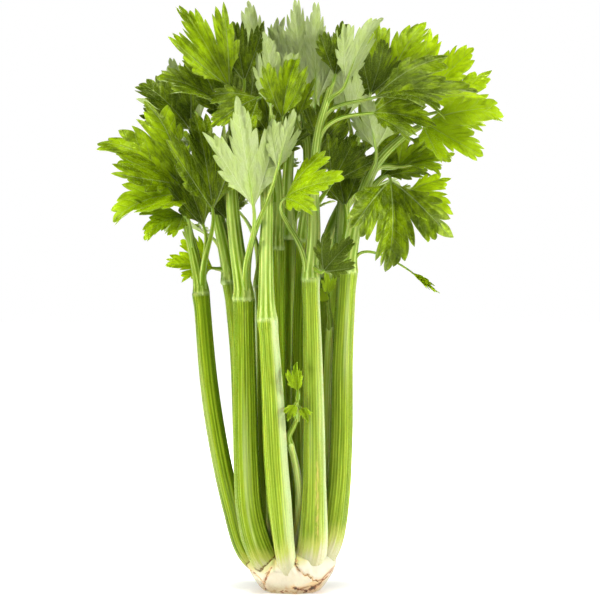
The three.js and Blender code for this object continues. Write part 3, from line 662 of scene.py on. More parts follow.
def stalk_skin(name, groove, rib, blanch_from, blanch_to):
    """Celery skin toned stalk by stalk, with a painted highlight on the rim facing a side light, a pale
    knuckle ring, a rubbed scar on the right and dry brown joints.
    """
    material, tree = new_material(name)
    place = object_place(tree)
    across, deep, height = place.axes()
    skin, roughness, relief = place_group(tree, celery_skin, {
        "Growth": attribute(tree, "growth", "Vector"),
        "Rib": attribute(tree, "rib"),
        "Blanched": (height + across * -0.30).spread(blanch_to, blanch_from),
        "Groove Color": groove,
        "Rib Color": rib,
    }, ("Color", "Roughness", "Height"))
    tone, rim = attribute(tree, "tone"), attribute(tree, "rim")
    skin = tone.spread(0.7, 0, 0, 0.9).mix(skin, (0.60, 0.65, 0.25), "MULTIPLY")
    skin = tone.spread(0.3, 1, 0, 0.12).mix(skin, (0.48, 0.54, 0.20))
    # Painted highlight: the rim that faces a side light turns pale, and so does the real pale ring below the
    # knuckle
    skin = (rim * tone.spread(0, 0.8, 0.45, 0.58)).mix(skin, (0.55, 0.61, 0.38))
    rub = place.stretched(900, 900, 90).noise(1.0, 4, 0.7)
    off_scar = (across + rub * 0.003 - 0.0228).math("ABSOLUTE")
    scar = off_scar.spread(0.0022, 0.0004) * rub.spread(0.40, 0.60) * deep.spread(-0.030, -0.036)
    scar = scar * height.spread(0.135, 0.095) * height.spread(0.030, 0.060)
    skin = (scar * 0.7).mix(skin, (0.46, 0.33, 0.13))
    grit = place.noise(260, 4, 0.7)
    dry = attribute(tree, "joint").spread(0.15, 0.70) * grit.spread(0.36, 0.52)
    skin = (dry * 0.95).mix(skin, (0.12, 0.065, 0.022))
    shader = field(tree, "ShaderNodeBsdfPrincipled", {
        "Base Color": skin,
        "Roughness": roughness,
        "Normal": relief.bump(0.0006, 0.7),
        "Subsurface Weight": 0.20,
        "Subsurface Scale": 0.003,
        "Specular IOR Level": 0.24,
        "Specular Tint": (0.88, 1.0, 0.30),
    })
    add_node(tree, "ShaderNodeOutputMaterial", {0: shader})
    return material


outer_skin = stalk_skin("stalk_skin_outer", (0.090, 0.162, 0.0002), (0.335, 0.425, 0.040), 0.018, 0.062)
# Inner stalks: greens a little darker as painted shade for their place deep in the head, and blanched higher
# up
inner_shaded_skin = stalk_skin("stalk_skin_inner_shaded", (0.085, 0.16, 0.0003), (0.32, 0.42, 0.03), 0.030, 0.090)
heart_skin = stalk_skin("stalk_skin_heart", (0.42, 0.56, 0.07), (0.66, 0.74, 0.30), 0.030, 0.090)

for seed, (name, stalk_row) in enumerate(STALKS.items()):
    stalk_piece = make_stalk(name, *stalk_row, seed)
    skin = inner_shaded_skin if name in INNER_STALKS else outer_skin
    stalk_piece.data.materials.append(heart_skin if name.startswith("heart") else skin)
    finish_piece(stalk_piece, name, 60)

# ---------------------------------------------------------------- the leaves
# On each stalk sits one compound leaf: a ribbed leaf stalk, side stems, and thin lobed and toothed blades,
# glossy dark green above and dull pale green with raised veins below.

# name: stalk, points that its leaf stalk passes, leaflets. A leaflet is [share of the leaf stalk where its
# stem leaves, base x y z, tip x y z, way its upper side faces x y z, width as a share of the pattern's,
# bend in degrees, tone from dark olive (0) to the bright green of a young blade (1), set partly as the
# blade's own colour and partly as painted shade for leaflets in shadow; over 1 it is a painted backlit glow]
LEAVES = {
    "leaf_01": ("stalk_01", ((-82, -6, 282), (-89, -8, 312), (-91, -8, 330)), (
        (1, -88, -14, 336, -153, -34, 318, -1, -8, 6, 1.05, 40, 0.8),
        (0.8, -93, -8, 344, -162, -24, 387, -1, -8, 6, 0.95, 35, 0.5),
        (0.5, -92, -18, 318, -124, -42, 300, 0, -7, 6, 1.0, 40, 0.75),
        (0.8, -84, 2, 342, -91, 4, 384, -8, -5, 2, 0.65, 30, 1.4),
        (0.04, -74, -20, 308, -96, -30, 370, 0, -9, 3, 0.6, 30, 0.2),
        (0.04, -66, -30, 322, -80, -43, 408, 1, -9, 3, 0.7, 35, 0.25),
    )),
    "leaf_02": ("stalk_02", ((-46, -37, 292), (-50, -36, 335), (-50, -34, 380), (-49, -32, 412)), (
        (1, -52, -36, 424, -94, -44, 496, -2, -8, 5, 0.66, 30, 0.55),
        (0.85, -62, -42, 412, -112, -48, 432, -1, -6, 7, 0.95, 35, 0.32),
        (0.85, -28, -44, 414, -66, -62, 388, 0, -8, 5, 0.95, 35, 0.36),
        (0.9, -40, -24, 430, -50, -22, 484, 0, -8, 4, 0.8, 30, 0.18),
        (0.04, -31, -70, 322, -46, -89, 405, 1, 9, 2, 0.66, 30, 0.55),
        (0.04, -12, -70, 352, 3, -78, 400, -3, 9, 3, 0.55, 25, 0.55),
    )),
    "leaf_03": ("stalk_03", ((-21, -50, 272), (-20, -53, 320), (-17, -57, 370), (-16, -60, 398)), (
        (1, -17, -61, 402, -20, -66, 468, 3, 9, 1, 0.62, 25, 0.4),
        (0.6, -8, -56, 396, 4, -60, 452, -2, -9, 3, 0.75, 30, 0.5),
    )),
    "leaf_04": ("stalk_04", ((18, -43, 300), (18, -45, 345), (22, -45, 385), (32, -42, 422)), (
        (0.04, -6, -60, 330, 43, -86, 340, 0, -7, 7, 1.1, 45, 0.75),
        (0.04, 26, -55, 270, 50, -68, 296, -1, -9, 2, 1.0, 30, 0.0),
        (1, 36, -38, 432, 46, -26, 482, -1, -8, 2, 0.7, 30, 0.15),
        (0.9, 44, -50, 424, 70, -56, 484, -3, 8, 3, 0.5, 25, 0.5),
        (0.8, 68, -46, 414, 150, -58, 412, 0, -6, 7, 0.75, 50, 0.25),
        (0.7, 66, -56, 400, 118, -66, 388, 0, -8, 6, 0.95, 45, 0.4),
    )),
    "leaf_05": ("stalk_05", ((54, -16, 314), (69, -22, 358), (93, -28, 383), (108, -30, 392)), (
        (1, 109, -33, 394, 154, -50, 361, 1, -9, 4, 1.15, 35, 0.85),
        (0.3, 82, -38, 346, 82, -60, 269, 2, -9, 2, 1.0, 35, 0.34),
        (0.3, 92, -30, 334, 135, -42, 319, 1, -8, 5, 1.0, 35, 1.3),
        (0.6, 90, -12, 360, 112, -14, 378, 2, -6, 6, 0.9, 30, 0.7),
        (0.6, 98, -18, 360, 136, -24, 366, 0, -7, 7, 0.8, 35, 0.75),
        (0.5, 70, -38, 372, 59, -48, 414, 3, 7, 4, 0.95, 30, 0.6),
        (0.04, 100, -26, 270, 121, -34, 250, 2, -8, 4, 0.22, 30, 1.2),
    )),
    "leaf_06": ("stalk_06", ((44, 10, 330), (52, 6, 376), (66, 2, 406)), (
        (1, 78, -2, 424, 112, -8, 487, -1, -8, 4, 0.85, 30, 0.65),
        (0.85, 66, -14, 420, 80, -18, 468, 2, -8, 3, 0.7, 30, 0.05),
        (0.5, 62, -10, 374, 82, -16, 412, 2, -7, 5, 0.8, 30, 0.45),
        (0.7, 48, 10, 402, 42, 14, 462, -3, 8, 5, 0.7, 30, 0.4),
        (0.05, 76, 14, 352, 116, 20, 378, 1, -7, 6, 0.95, 35, 0.3),
        (0.05, 45, 4, 326, 35, 6, 374, 0, -9, 2, 0.8, 30, 0.2),
    )),
    "leaf_07": ("stalk_07", ((38, 52, 315), (64, 48, 360), (94, 34, 396)), (
        (1, 112, 26, 418, 156, 14, 460, 1, -8, 5, 1.0, 35, 1.3),
        (0.9, 128, 14, 408, 182, 4, 406, 1, -8, 4, 1.05, 35, 0.95),
        (0.7, 80, 70, 392, 112, 108, 424, 3, 5, 8, 0.85, 35, 0.5),
        (0.05, 62, 80, 342, 96, 120, 350, 4, 5, 7, 0.9, 40, 0.6),
        (0.05, 74, 42, 330, 124, 48, 338, 4, 0, 8, 0.8, 40, 0.6),
        (0.8, 88, 36, 398, 100, 34, 440, 1, -8, 5, 0.9, 35, 0.4),
        (0.85, 104, 36, 386, 137, 33, 366, 1, -8, 5, 0.9, 35, 0.7),
    )),
    "leaf_08": ("stalk_08", ((-22, 62, 310), (-24, 70, 362), (-20, 72, 408)), (
        (1, -19, 72, 418, -8, 84, 488, 0, 8, 5, 0.8, 30, 0.45),
        (0.7, -42, 78, 388, -78, 108, 432, -3, 6, 7, 0.85, 35, 0.6),
        (0.7, 2, 82, 386, 34, 112, 432, 3, 6, 7, 0.85, 35, 0.5),
        (0.05, -48, 82, 326, -84, 118, 340, -3, 6, 7, 0.9, 40, 0.4),
        (0.05, 4, 88, 320, 20, 132, 330, 2, 6, 7, 0.9, 40, 0.55),
        (0.4, -14, 96, 362, -22, 134, 384, 1, 6, 7, 0.9, 35, 0.35),
    )),
    "leaf_09": ("stalk_09", ((-62, 34, 310), (-74, 36, 355), (-84, 34, 388)), (
        (1, -88, 30, 394, -130, 21, 438, -3, -6, 6, 1.0, 30, 0.15),
        (0.9, -80, 44, 404, -112, 52, 456, -5, 3, 7, 0.85, 30, 0.45),
        (0.7, -82, 64, 372, -110, 104, 400, -3, 5, 8, 0.85, 35, 0.55),
        (0.7, -104, 48, 366, -148, 66, 386, -4, -2, 8, 0.85, 35, 0.4),
        (0.05, -68, 26, 274, -109, 18, 277, -2, -7, 5, 1.05, 35, 1.9),
        (0.05, -74, 52, 304, -114, 82, 310, -4, 5, 7, 0.9, 40, 0.5),
        (0.4, -64, 28, 344, -106, 22, 374, -1, -8, 4, 1.0, 30, 0.2),
        (0.1, -56, 30, 316, -62, 20, 360, 0, -9, 2, 0.9, 30, 0.15),
    )),
    "leaf_10": ("stalk_10", ((-12, -14, 338), (-18, -14, 386), (-22, -14, 418)), (
        (1, -24, -15, 426, -37, -6, 500, -1, 9, 3, 0.6, 25, 0.4),
        (0.7, -40, 0, 396, -68, 2, 454, -1, -8, 4, 1.0, 30, 0.15),
        (0.05, -28, -22, 344, -46, -18, 394, -3, -8, 4, 0.85, 35, 0.2),
        (0.3, -17, -21, 366, 0, -21, 408, 0, -9, 2, 0.85, 30, 0.15),
        (0.6, -18, -24, 384, -25, -28, 430, -1, -8, 4, 0.55, 30, 0.35),
    )),
    "leaf_11": ("stalk_11", ((14, -14, 342), (12, -18, 386), (8, -20, 412)), (
        (1, 8, -22, 420, 2, -30, 496, 0, 9, 3, 0.62, 25, 0.4),
        (0.8, 20, -26, 410, 18, -32, 494, 1, 9, 3, 0.5, 25, 0.4),
        (0.7, 4, -32, 398, 2, -42, 442, -1, -8, 5, 0.65, 35, 0.45),
        (0.05, 34, -22, 346, 56, -20, 388, 3, -8, 4, 0.85, 35, 0.15),
        (0.5, 24, -26, 376, 30, -30, 424, 1, -8, 3, 0.7, 30, 0.25),
    )),
    "leaf_12": ("stalk_12", ((-4, 21, 345), (0, 25, 395), (4, 27, 424)), (
        (1, 4, 27, 432, 8, 30, 494, 0, 7, 6, 0.8, 30, 0.4),
        (0.7, 30, 38, 414, 62, 46, 468, 3, -6, 6, 0.9, 35, 0.2),
        (0.7, -24, 30, 410, -56, 32, 466, -3, -6, 6, 0.9, 35, 0.25),
        (0.05, 24, 30, 358, 46, 26, 408, 2, -8, 4, 1.0, 35, 0.1),
        (0.05, -24, 28, 356, -36, 22, 408, -2, -8, 4, 1.0, 35, 0.1),
    )),
    "heart_leaf_1": ("heart_stalk_1", ((3, -51, 146), (5, -54, 166)), (
        (1, 5, -55, 171, 3, -58, 197, -2, -9, 2, 0.7, 40, 1.1),
        (0.55, 7, -55, 158, 14, -60, 146, 2, -9, 3, 0.75, 45, 0.9),
        (0.6, 3, -56, 161, -3, -60, 147, -2, -9, 3, 0.8, 45, 0.8),
    )),
    "heart_leaf_2": ("heart_stalk_2", ((31, -11, 240), (31, -12, 250)), (
        (1, 30, -12, 251, 28, -18, 270, 3, -8, 3, 0.6, 45, 0.9),
        (0.5, 29, -13, 244, 25, -17, 257, -3, -8, 3, 0.6, 45, 0.9),
    )),
}

BLADE_THICKNESS = 0.7
EDGE_THICKNESS = 0.35
FOLD_DEGREES = (10, 38)
WAVE_SHARE = (0.02, 0.05)
WAVES_ACROSS = 6
OUTLINE_CHANGE = (0.94, 1.06)
MIDRIB_HALF = 2
# The small sprout's leaf is folded and curled more than the others
CURLED_LEAF = "heart_leaf_1"
CURLED_FOLD = 26
CURLED_SHARE, CURL_SHARE = 0.10, 0.022
QUILT_SHARE = 0.014
DROOP_SHARE = (-0.75, 0.45)
DROOP_WIDTH = 17  # degrees to each side of a lobe's rib
UNEVEN_SHARE = 0.004
RIB_SHARE = 0.011
RIB_DENT, RIB_RISE = 0.3, 0.8  # how far a rib goes into the upper side, and stands out below
KNUCKLE_GAP = 0.4
KNUCKLE_SHARE = 0.35
KNUCKLE_SWELL = 0.22
KNUCKLE_REACH = 9.0
KNUCKLE_OFFSET = 0.12
KNUCKLE_LENGTH = 7
ROOT_LENGTH = 2.2  # how far a leaf stalk's rounded root goes down into its knuckle
STEM_RIB_SHARE, STEM_GROOVE_SHARE = 0.07, 0.26  # shares of a stem's radius
GROOVE_WIDTH = 28  # degrees
LEAF_STALK_TIP = 2.6
LEAF_STALK_STEP = 2.2
SIDE_STEM_ROOT = (3, 2)
SIDE_STEM_TIP = 1.3
SIDE_STEM_STEP = 2.5
THREAD_STEM_ROOT = 1.5
SIDE_STEM_OFFSET = 0.75
SIDE_STEM_REACH = 0.38  # how far the stem runs on under its blade, as a share of the leaflet
LAST_BRANCH = 0.97
BEND_OUT = 0.45
BEND_IN = 0.35
NARROW_LEAFLET = 0.4
# Where one leaflet's outline is drawn in or out from the others', in degrees from the midrib
COARSE_TEETH = (58, 57, 49, 42, 33, 27, 21, 15, 8)
# Half a leaflet's outline as [degrees from the midrib, reach]: a foot, then tooth tips and notches in turn
LEAFLET_HALF = (
    (64, 0.018),
    (61, 0.46), (55, 0.43),
    (56.5, 0.64), (50, 0.55),
    (49, 0.80), (44.5, 0.705),
    (41.5, 0.94), (37, 0.77),
    (33.5, 0.88), (29.5, 0.73),
    (26.5, 0.80), (21.5, 0.45),
    (18, 0.76), (13.5, 0.675),
    (11.5, 0.90), (7.6, 0.79),
    (5.5, 0.96), (3, 0.895),
)
SINUS_CHANGE = (0.84, 1.12)
TOOTH_CHANGE = (0.93, 1.04)
TOOTH_SHIFT = 1.3  # degrees to each side
TOOTH_ROUNDING = 0.26
MOST_ROUNDING = 0.024
FLANK_HOLLOW = -0.035
OUTLINE_STEP = 0.018
BLADE_STEP = 0.027
THIN_RIM = 0.05
LATERAL_RIB = 41  # degrees from the midrib to the ribs of the side lobes
# A pattern's ribs as [degrees from the midrib, start, end], with more points close beside each
BLADE_RIBS = ((0, 0.03, 0.97), (-LATERAL_RIB, 0.07, 0.84), (LATERAL_RIB, 0.07, 0.84))
BESIDE_RIB = 0.013
CLEAR_OF_RIM = 0.008
LOBE_SPLIT = 22
LOBE_SINUS = 12  # which corner of LEAFLET_HALF is the deep cut between the lobes
VEIN_STEP = 0.105
VEIN_SLANT = 1.05
BLADE_PATTERNS = 6


def between(ends, share):
    return ends[0] + (ends[1] - ends[0]) * share


def rib_frame(p, q):
    """Each point's place along and beside its own main rib: the midrib, or a side lobe's."""
    q = np.abs(q)
    lateral = np.degrees(np.arctan2(q, np.maximum(p, 1e-6))) > LOBE_SPLIT
    cos, sin = math.cos(math.radians(LATERAL_RIB)), math.sin(math.radians(LATERAL_RIB))
    return np.where(lateral, p * cos + q * sin, p), np.where(lateral, np.abs(q * cos - p * sin), q)


def inside(loop, p):
    x, y = loop[:, 0], loop[:, 1]
    nx, ny = np.roll(x, -1), np.roll(y, -1)
    crosses = (y > p[1]) != (ny > p[1])
    with np.errstate(divide="ignore", invalid="ignore"):
        at = x + (p[1] - y) * (nx - x) / (ny - y)
    return np.count_nonzero(crosses & (p[0] < at)) % 2 == 1


def nearest(points, p):
    return np.sqrt(((points - p) ** 2).sum(axis=1).min())


def blade_outline(chance):
    """The rim of a flat leaflet, one unit long, from one side of its foot round the tip to the other."""
    sides = []
    for sign in (-1, 1):
        side = []
        cut = chance.uniform(*SINUS_CHANGE)
        for k, (degrees, reach) in enumerate(LEAFLET_HALF):
            shift = chance.uniform(-TOOTH_SHIFT, TOOTH_SHIFT) if k else 0
            grow = chance.uniform(*TOOTH_CHANGE) if k else 1
            reach *= grow * (cut if k == LOBE_SINUS else 1)
            angle = math.radians(degrees + shift)
            side.append((reach * math.cos(angle), sign * reach * math.sin(angle)))
        sides.append(side)
    corners = np.array(sides[0] + [(1.0, 0.0)] + sides[1][::-1])
    outline = []
    last = len(corners) - 1
    for k, (a, b) in enumerate(zip(corners, corners[1:])):
        length = np.linalg.norm(b - a)
        outward = np.array([b[1] - a[1], a[0] - b[0]]) / length
        outer_edge = (np.linalg.norm(b) > np.linalg.norm(a)) == (k < last / 2)
        rounding = min(TOOTH_ROUNDING * length, MOST_ROUNDING) * (1 if outer_edge else 0.5)
        control = (a + b) / 2 + outward * 2 * (FLANK_HOLLOW if k in (0, last - 1) else rounding)
        w = np.linspace(0, 1, max(3, round(length / OUTLINE_STEP)), endpoint=False)[:, None]
        outline.append(a * (1 - w) ** 2 + control * 2 * w * (1 - w) + b * w**2)
    return np.vstack([*outline, corners[-1:]])


def blade_pattern(seed):
    """A flat leaflet, one unit long: its points, triangles, rim edges and each point's depth from the rim."""
    rim = blade_outline(np.random.default_rng(seed))
    rib_points, beside = [], []
    for degrees, first, last in BLADE_RIBS:
        way = np.array([math.cos(math.radians(degrees)), math.sin(math.radians(degrees))])
        rib = np.arange(first, last, BLADE_STEP)[:, None] * way
        rib_points.append(rib)
        beside.extend(rib[1:] + np.array([-way[1], way[0]]) * shift for shift in (-BESIDE_RIB, BESIDE_RIB))
    rib_points = np.vstack(rib_points + beside)
    rib_points = rib_points[[inside(rim, p) and nearest(rim, p) > CLEAR_OF_RIM for p in rib_points]]
    rows = np.arange(-0.9, 0.9, BLADE_STEP * 0.866)
    grid = np.array([(x + (k % 2) * BLADE_STEP / 2, y) for k, y in enumerate(rows)
                     for x in np.arange(0.02, 1.0, BLADE_STEP)])
    grid = grid[[inside(rim, p) and nearest(rim, p) > BLADE_STEP * 0.55 and
                 nearest(rib_points, p) > BLADE_STEP * 0.6 for p in grid]]
    loop = list(range(len(rim)))
    edges = [(i, (i + 1) % len(rim)) for i in loop]
    points = [Vector(p) for p in np.vstack([rim, rib_points, grid])]
    made = delaunay_2d_cdt(points, edges, [loop], 1, 1e-6)
    flat = np.array([v[:] for v in made[0]])
    triangles = [tuple(f) for f in made[2]]
    used = {(a, b) for f in triangles for a, b in zip(f, f[1:] + f[:1])}
    rim_edges = [(a, b) for a, b in used if (b, a) not in used]
    deep = np.array([nearest(rim, p) for p in flat])
    return flat, triangles, rim_edges, np.clip(deep / THIN_RIM, 0, 1)


patterns = [blade_pattern(seed) for seed in range(BLADE_PATTERNS)]


class Leaflet:
    """One leaflet, and where any point of it lies: u runs along its midrib and v across it, in mm."""

    def __init__(self, name, index, row):
        self.leaf = int("".join(c for c in name if c.isdigit())) + (20 if name.startswith("heart") else 0)
        self.index = index
        self.leaves_at = row[0]
        self.base, tip, up = (np.array(row[k:k + 3], dtype=float) for k in (1, 4, 7))
        self.wide, bend, self.tone = row[10:]
        reach = np.linalg.norm(tip - self.base)
        self.along = (tip - self.base) / reach
        self.up = unit(up - self.along * (up @ self.along))
        self.across = np.cross(self.up, self.along)
        self.bend = math.radians(bend)
        self.radius = reach / (2 * math.sin(self.bend / 2))
        self.length = self.radius * self.bend
        curled = name == CURLED_LEAF
        self.curl = CURLED_SHARE if curled else CURL_SHARE
        self.fold = math.radians(self.vary(1, FOLD_DEGREES) + (CURLED_FOLD if curled else 0))
        self.wave = self.length * self.vary(2, WAVE_SHARE)
        self.phase = 2 * math.pi * self.vary(3)

    def vary(self, use, ends=(0, 1)):
        """A number between the ends that is always the same for this leaflet and this use."""
        x = math.sin(self.leaf * 12.9898 + self.index * 78.233 + use * 37.719) * 43758.5453
        return between(ends, x - math.floor(x))

    def at(self, u, v, lift):
        u, v = np.asarray(u, dtype=float), np.asarray(v, dtype=float)
        turn = u / self.radius - self.bend / 2
        x = self.radius * (np.sin(turn) + math.sin(self.bend / 2))
        z = self.radius * (np.cos(turn) - math.cos(self.bend / 2))
        reach = np.hypot(u, v) / self.length
        ripple = self.wave * reach * reach * np.sin(WAVES_ACROSS * v / self.length + self.phase)
        rise = (np.hypot(v, MIDRIB_HALF) - MIDRIB_HALF) * math.sin(self.fold) + ripple + lift
        return (
            self.base
            + self.along * (x + rise * np.sin(turn))[..., None]
            + self.across * (v * math.cos(self.fold))[..., None]
            + self.up * (z + rise * np.cos(turn))[..., None]
        )


def blade_part(leaflet):
    """The thin blade of one leaflet, quilted between its veins, with raised ribs below."""
    flat, triangles, rim_edges, deep = patterns[int(leaflet.vary(4) * BLADE_PATTERNS)]
    p, q = flat[:, 0], flat[:, 1]
    reach = np.hypot(p, q)
    degrees = np.degrees(np.arctan2(np.abs(q), np.maximum(p, 1e-6)))
    own = np.ones_like(p)
    for sign, use in ((-1, 10), (1, 20)):
        factors = [leaflet.vary(use + k, OUTLINE_CHANGE) for k in range(len(COARSE_TEETH))]
        grown = np.interp(degrees, (0,) + COARSE_TEETH[::-1], [1] + factors[::-1])
        own = np.where(np.sign(q) == sign, grown, own)
    own = 1 + (own - 1) * smooth_step(0.2, 0.6, reach)
    along, beside = rib_frame(p, q)
    vein = along - beside * VEIN_SLANT
    quilt = np.sin(math.pi * vein / VEIN_STEP) ** 2 * smooth_step(0.015, 0.07, beside) * deep
    lift = QUILT_SHARE * quilt
    for lobe, use in ((-LATERAL_RIB, 5), (0, 6), (LATERAL_RIB, 7)):
        near = hump(np.sign(q) * degrees - lobe, DROOP_WIDTH)
        lift = lift + leaflet.vary(use, DROOP_SHARE) * near * np.maximum(reach - 0.40, 0) ** 2
    curl = np.sin(np.radians(degrees) * 21 * np.where(q > 0, 1, -1) + 6.3 * leaflet.vary(8))
    lift = lift + leaflet.curl * curl * smooth_step(0.45, 0.95, reach)
    uneven = np.sin(p * 43 + 5 * leaflet.vary(9)) * np.sin(q * 39 + 3)
    lift = leaflet.length * (lift + UNEVEN_SHARE * uneven * smooth_step(0.05, 0.3, reach))
    rib = hump(beside, RIB_SHARE) * np.clip(1 - along, 0, 1) ** 0.8
    half = (EDGE_THICKNESS + (BLADE_THICKNESS - EDGE_THICKNESS) * deep) / 2
    u, v = leaflet.length * p * own, leaflet.length * leaflet.wide * q * own
    top = leaflet.at(u, v, lift + half - RIB_DENT * rib)
    under = leaflet.at(u, v, lift - half - RIB_RISE * rib)
    n = len(flat)
    faces = triangles + [(c + n, b + n, a + n) for a, b, c in triangles]
    faces += [(b, a, a + n, b + n) for a, b in rim_edges]
    return {
        "points": np.vstack([top, under]),
        "faces": faces,
        "material": 0,
        "growth": np.tile(np.column_stack([p, q, np.full(n, 3 * leaflet.vary(30))]), (2, 1)),
        "under": np.repeat([0.0, 1.0], n),
        "rib": np.tile(deep, 2),
        "rim": np.zeros(2 * n),
        "tone": np.full(2 * n, leaflet.tone),
    }


def stem_part(points, radii, side, from_end, ribs, groove_at, around, seed, tone):
    """A ribbed and grooved stem through points, closed at both ends."""
    way = unit(np.gradient(points, axis=0))
    across = np.empty_like(points)
    for k in range(len(points))[::-1 if from_end else 1]:
        side = unit(side - way[k] * (side @ way[k]))
        across[k] = side
    up = np.cross(way, across)
    turn = np.linspace(0, 2 * math.pi, around, endpoint=False)
    crest = np.abs(np.sin(ribs * turn / 2)) ** 4
    groove = hump(angle_apart(np.degrees(turn), groove_at), GROOVE_WIDTH)
    shape = 1 + STEM_RIB_SHARE * (crest - 0.4) - STEM_GROOVE_SHARE * groove
    a = radii[:, None] * shape * np.cos(turn)
    b = radii[:, None] * shape * np.sin(turn)
    where = points[:, None, :] + across[:, None, :] * a[..., None] + up[:, None, :] * b[..., None]
    run = np.concatenate([[0], np.cumsum(np.linalg.norm(np.diff(points, axis=0), axis=1))])
    growth = np.stack([a, b, np.repeat(run[:, None], around, axis=1) + seed], axis=-1)
    return {
        "points": where.reshape(-1, 3),
        "faces": loft_faces(len(points), around),
        "material": 1,
        "growth": growth.reshape(-1, 3),
        "under": np.zeros(a.size),
        "rib": np.tile(crest * (1 - groove), len(points)),
        "rim": np.repeat(smooth_step(3.4, 2.4, run), around) * KNUCKLE_PALENESS * (ribs > 7),
        "tone": np.full(a.size, tone),
    }


def side_stem(line, leaflet, root_radius):
    """The stem from the leaf stalk to one leaflet, fading out under the blade."""
    leave = min(leaflet.leaves_at, LAST_BRANCH)
    root, leaving = line.at(leave), line.way(leave)
    arriving = unit(leaflet.at(1, 0, 0) - leaflet.base)
    aim = leaflet.base - root
    reach = np.linalg.norm(aim)
    root = root + unit(aim - leaving * (aim @ leaving)) * SIDE_STEM_OFFSET * root_radius * (1 - leave)
    b, c = root + leaving * reach * BEND_OUT, leaflet.base - arriving * reach * BEND_IN
    w = np.linspace(0, 1, max(8, int(reach / SIDE_STEM_STEP)))[:, None]
    path = root * (1 - w) ** 3 + b * 3 * w * (1 - w) ** 2 + c * 3 * w**2 * (1 - w) + leaflet.base * w**3
    narrow = leaflet.wide < NARROW_LEAFLET
    tip = BLADE_THICKNESS if narrow else SIDE_STEM_TIP
    thick = THREAD_STEM_ROOT if narrow else between(SIDE_STEM_ROOT, leaflet.leaves_at)
    u = np.linspace(0, SIDE_STEM_REACH, 10)[1:] * leaflet.length
    fade = tip * np.linspace(1, 0.25, 10)[1:]
    path = np.vstack([path, leaflet.at(u, u * 0, -0.25 - 0.45 * fade)])
    radii = np.concatenate([between((thick, tip), w[:, 0]), fade])
    left = unit(leaflet.at(0, 1, 0) - leaflet.at(0, -1, 0))
    return stem_part(path, radii, left, from_end=True, ribs=7, groove_at=90, around=16,
                     seed=40 * leaflet.index, tone=0.5)


def leaf_parts(name, stalk, stem, rows):
    """The leaf stalk, then each leaflet's stem and blade."""
    line_points, facing, width, _, ribs, _ = STALKS[stalk]
    top = stalk_axes(GrowthLine(line_points), np.array([1.0]), facing)
    middle, along, outward, across = (axis[0] for axis in top)
    start = middle + along * KNUCKLE_GAP + outward * width * KNUCKLE_OFFSET
    line = GrowthLine([start, start + along * KNUCKLE_LENGTH, *stem])
    root = width * KNUCKLE_SHARE
    thin = ribs < 4
    share = np.linspace(0, 1, max(14, int(line.length / LEAF_STALK_STEP)))
    swell = 1 + KNUCKLE_SWELL * np.exp(-((share * line.length / KNUCKLE_REACH) ** 1.5))
    radii = between((root, SIDE_STEM_TIP if thin else LEAF_STALK_TIP), share) * swell
    points = np.vstack([start - along * ROOT_LENGTH, line.at(share)])
    radii = np.concatenate([[radii[0] * 0.9], radii])
    tone = STALK_TONES.get(stalk, OTHER_STALK_TONES)
    parts = [stem_part(points, radii, across, from_end=False, ribs=6 if thin else 10, groove_at=270,
                       around=20 if thin else 40, seed=7, tone=tone)]
    for index, row in enumerate(rows):
        leaflet = Leaflet(name, index, row)
        parts += [side_stem(line, leaflet, root), blade_part(leaflet)]
    return parts


def leaf_veins_group():
    """Masks from a leaflet's own flat place: main ribs, the veins that branch from them, and the fine net."""
    group, (place,) = new_group(
        "leaf_veins", {"Growth": "Vector"}, {"Ribs": "Float", "Veins": "Float", "Net": "Float"})
    p, q, _ = place.axes()
    q = q.math("ABSOLUTE")
    cos, sin = math.cos(math.radians(LATERAL_RIB)), math.sin(math.radians(LATERAL_RIB))
    slope = q / p.math("MAXIMUM", 0.001)
    lateral = slope.math("GREATER_THAN", math.tan(math.radians(LOBE_SPLIT)))
    along = lateral.choose(p, p * cos + q * sin)
    beside = lateral.choose(q, (q * cos - p * sin).math("ABSOLUTE"))
    wobble = place.noise(9, 2) * 0.05 - 0.025
    vein = (along - beside * VEIN_SLANT) / VEIN_STEP + wobble * 6
    add_node(group, "NodeGroupOutput", {
        "Ribs": (beside / (along * -0.011 + 0.0135)).spread(1.0, 0.45),
        "Veins": vein.math("PINGPONG", 0.5).spread(0.075, 0.02),
        "Net": place.cells(34, "DISTANCE_TO_EDGE").spread(0.09, 0.02),
    })
    return group


leaf_veins = leaf_veins_group()
PALE_VEIN = (0.55, 0.62, 0.34)


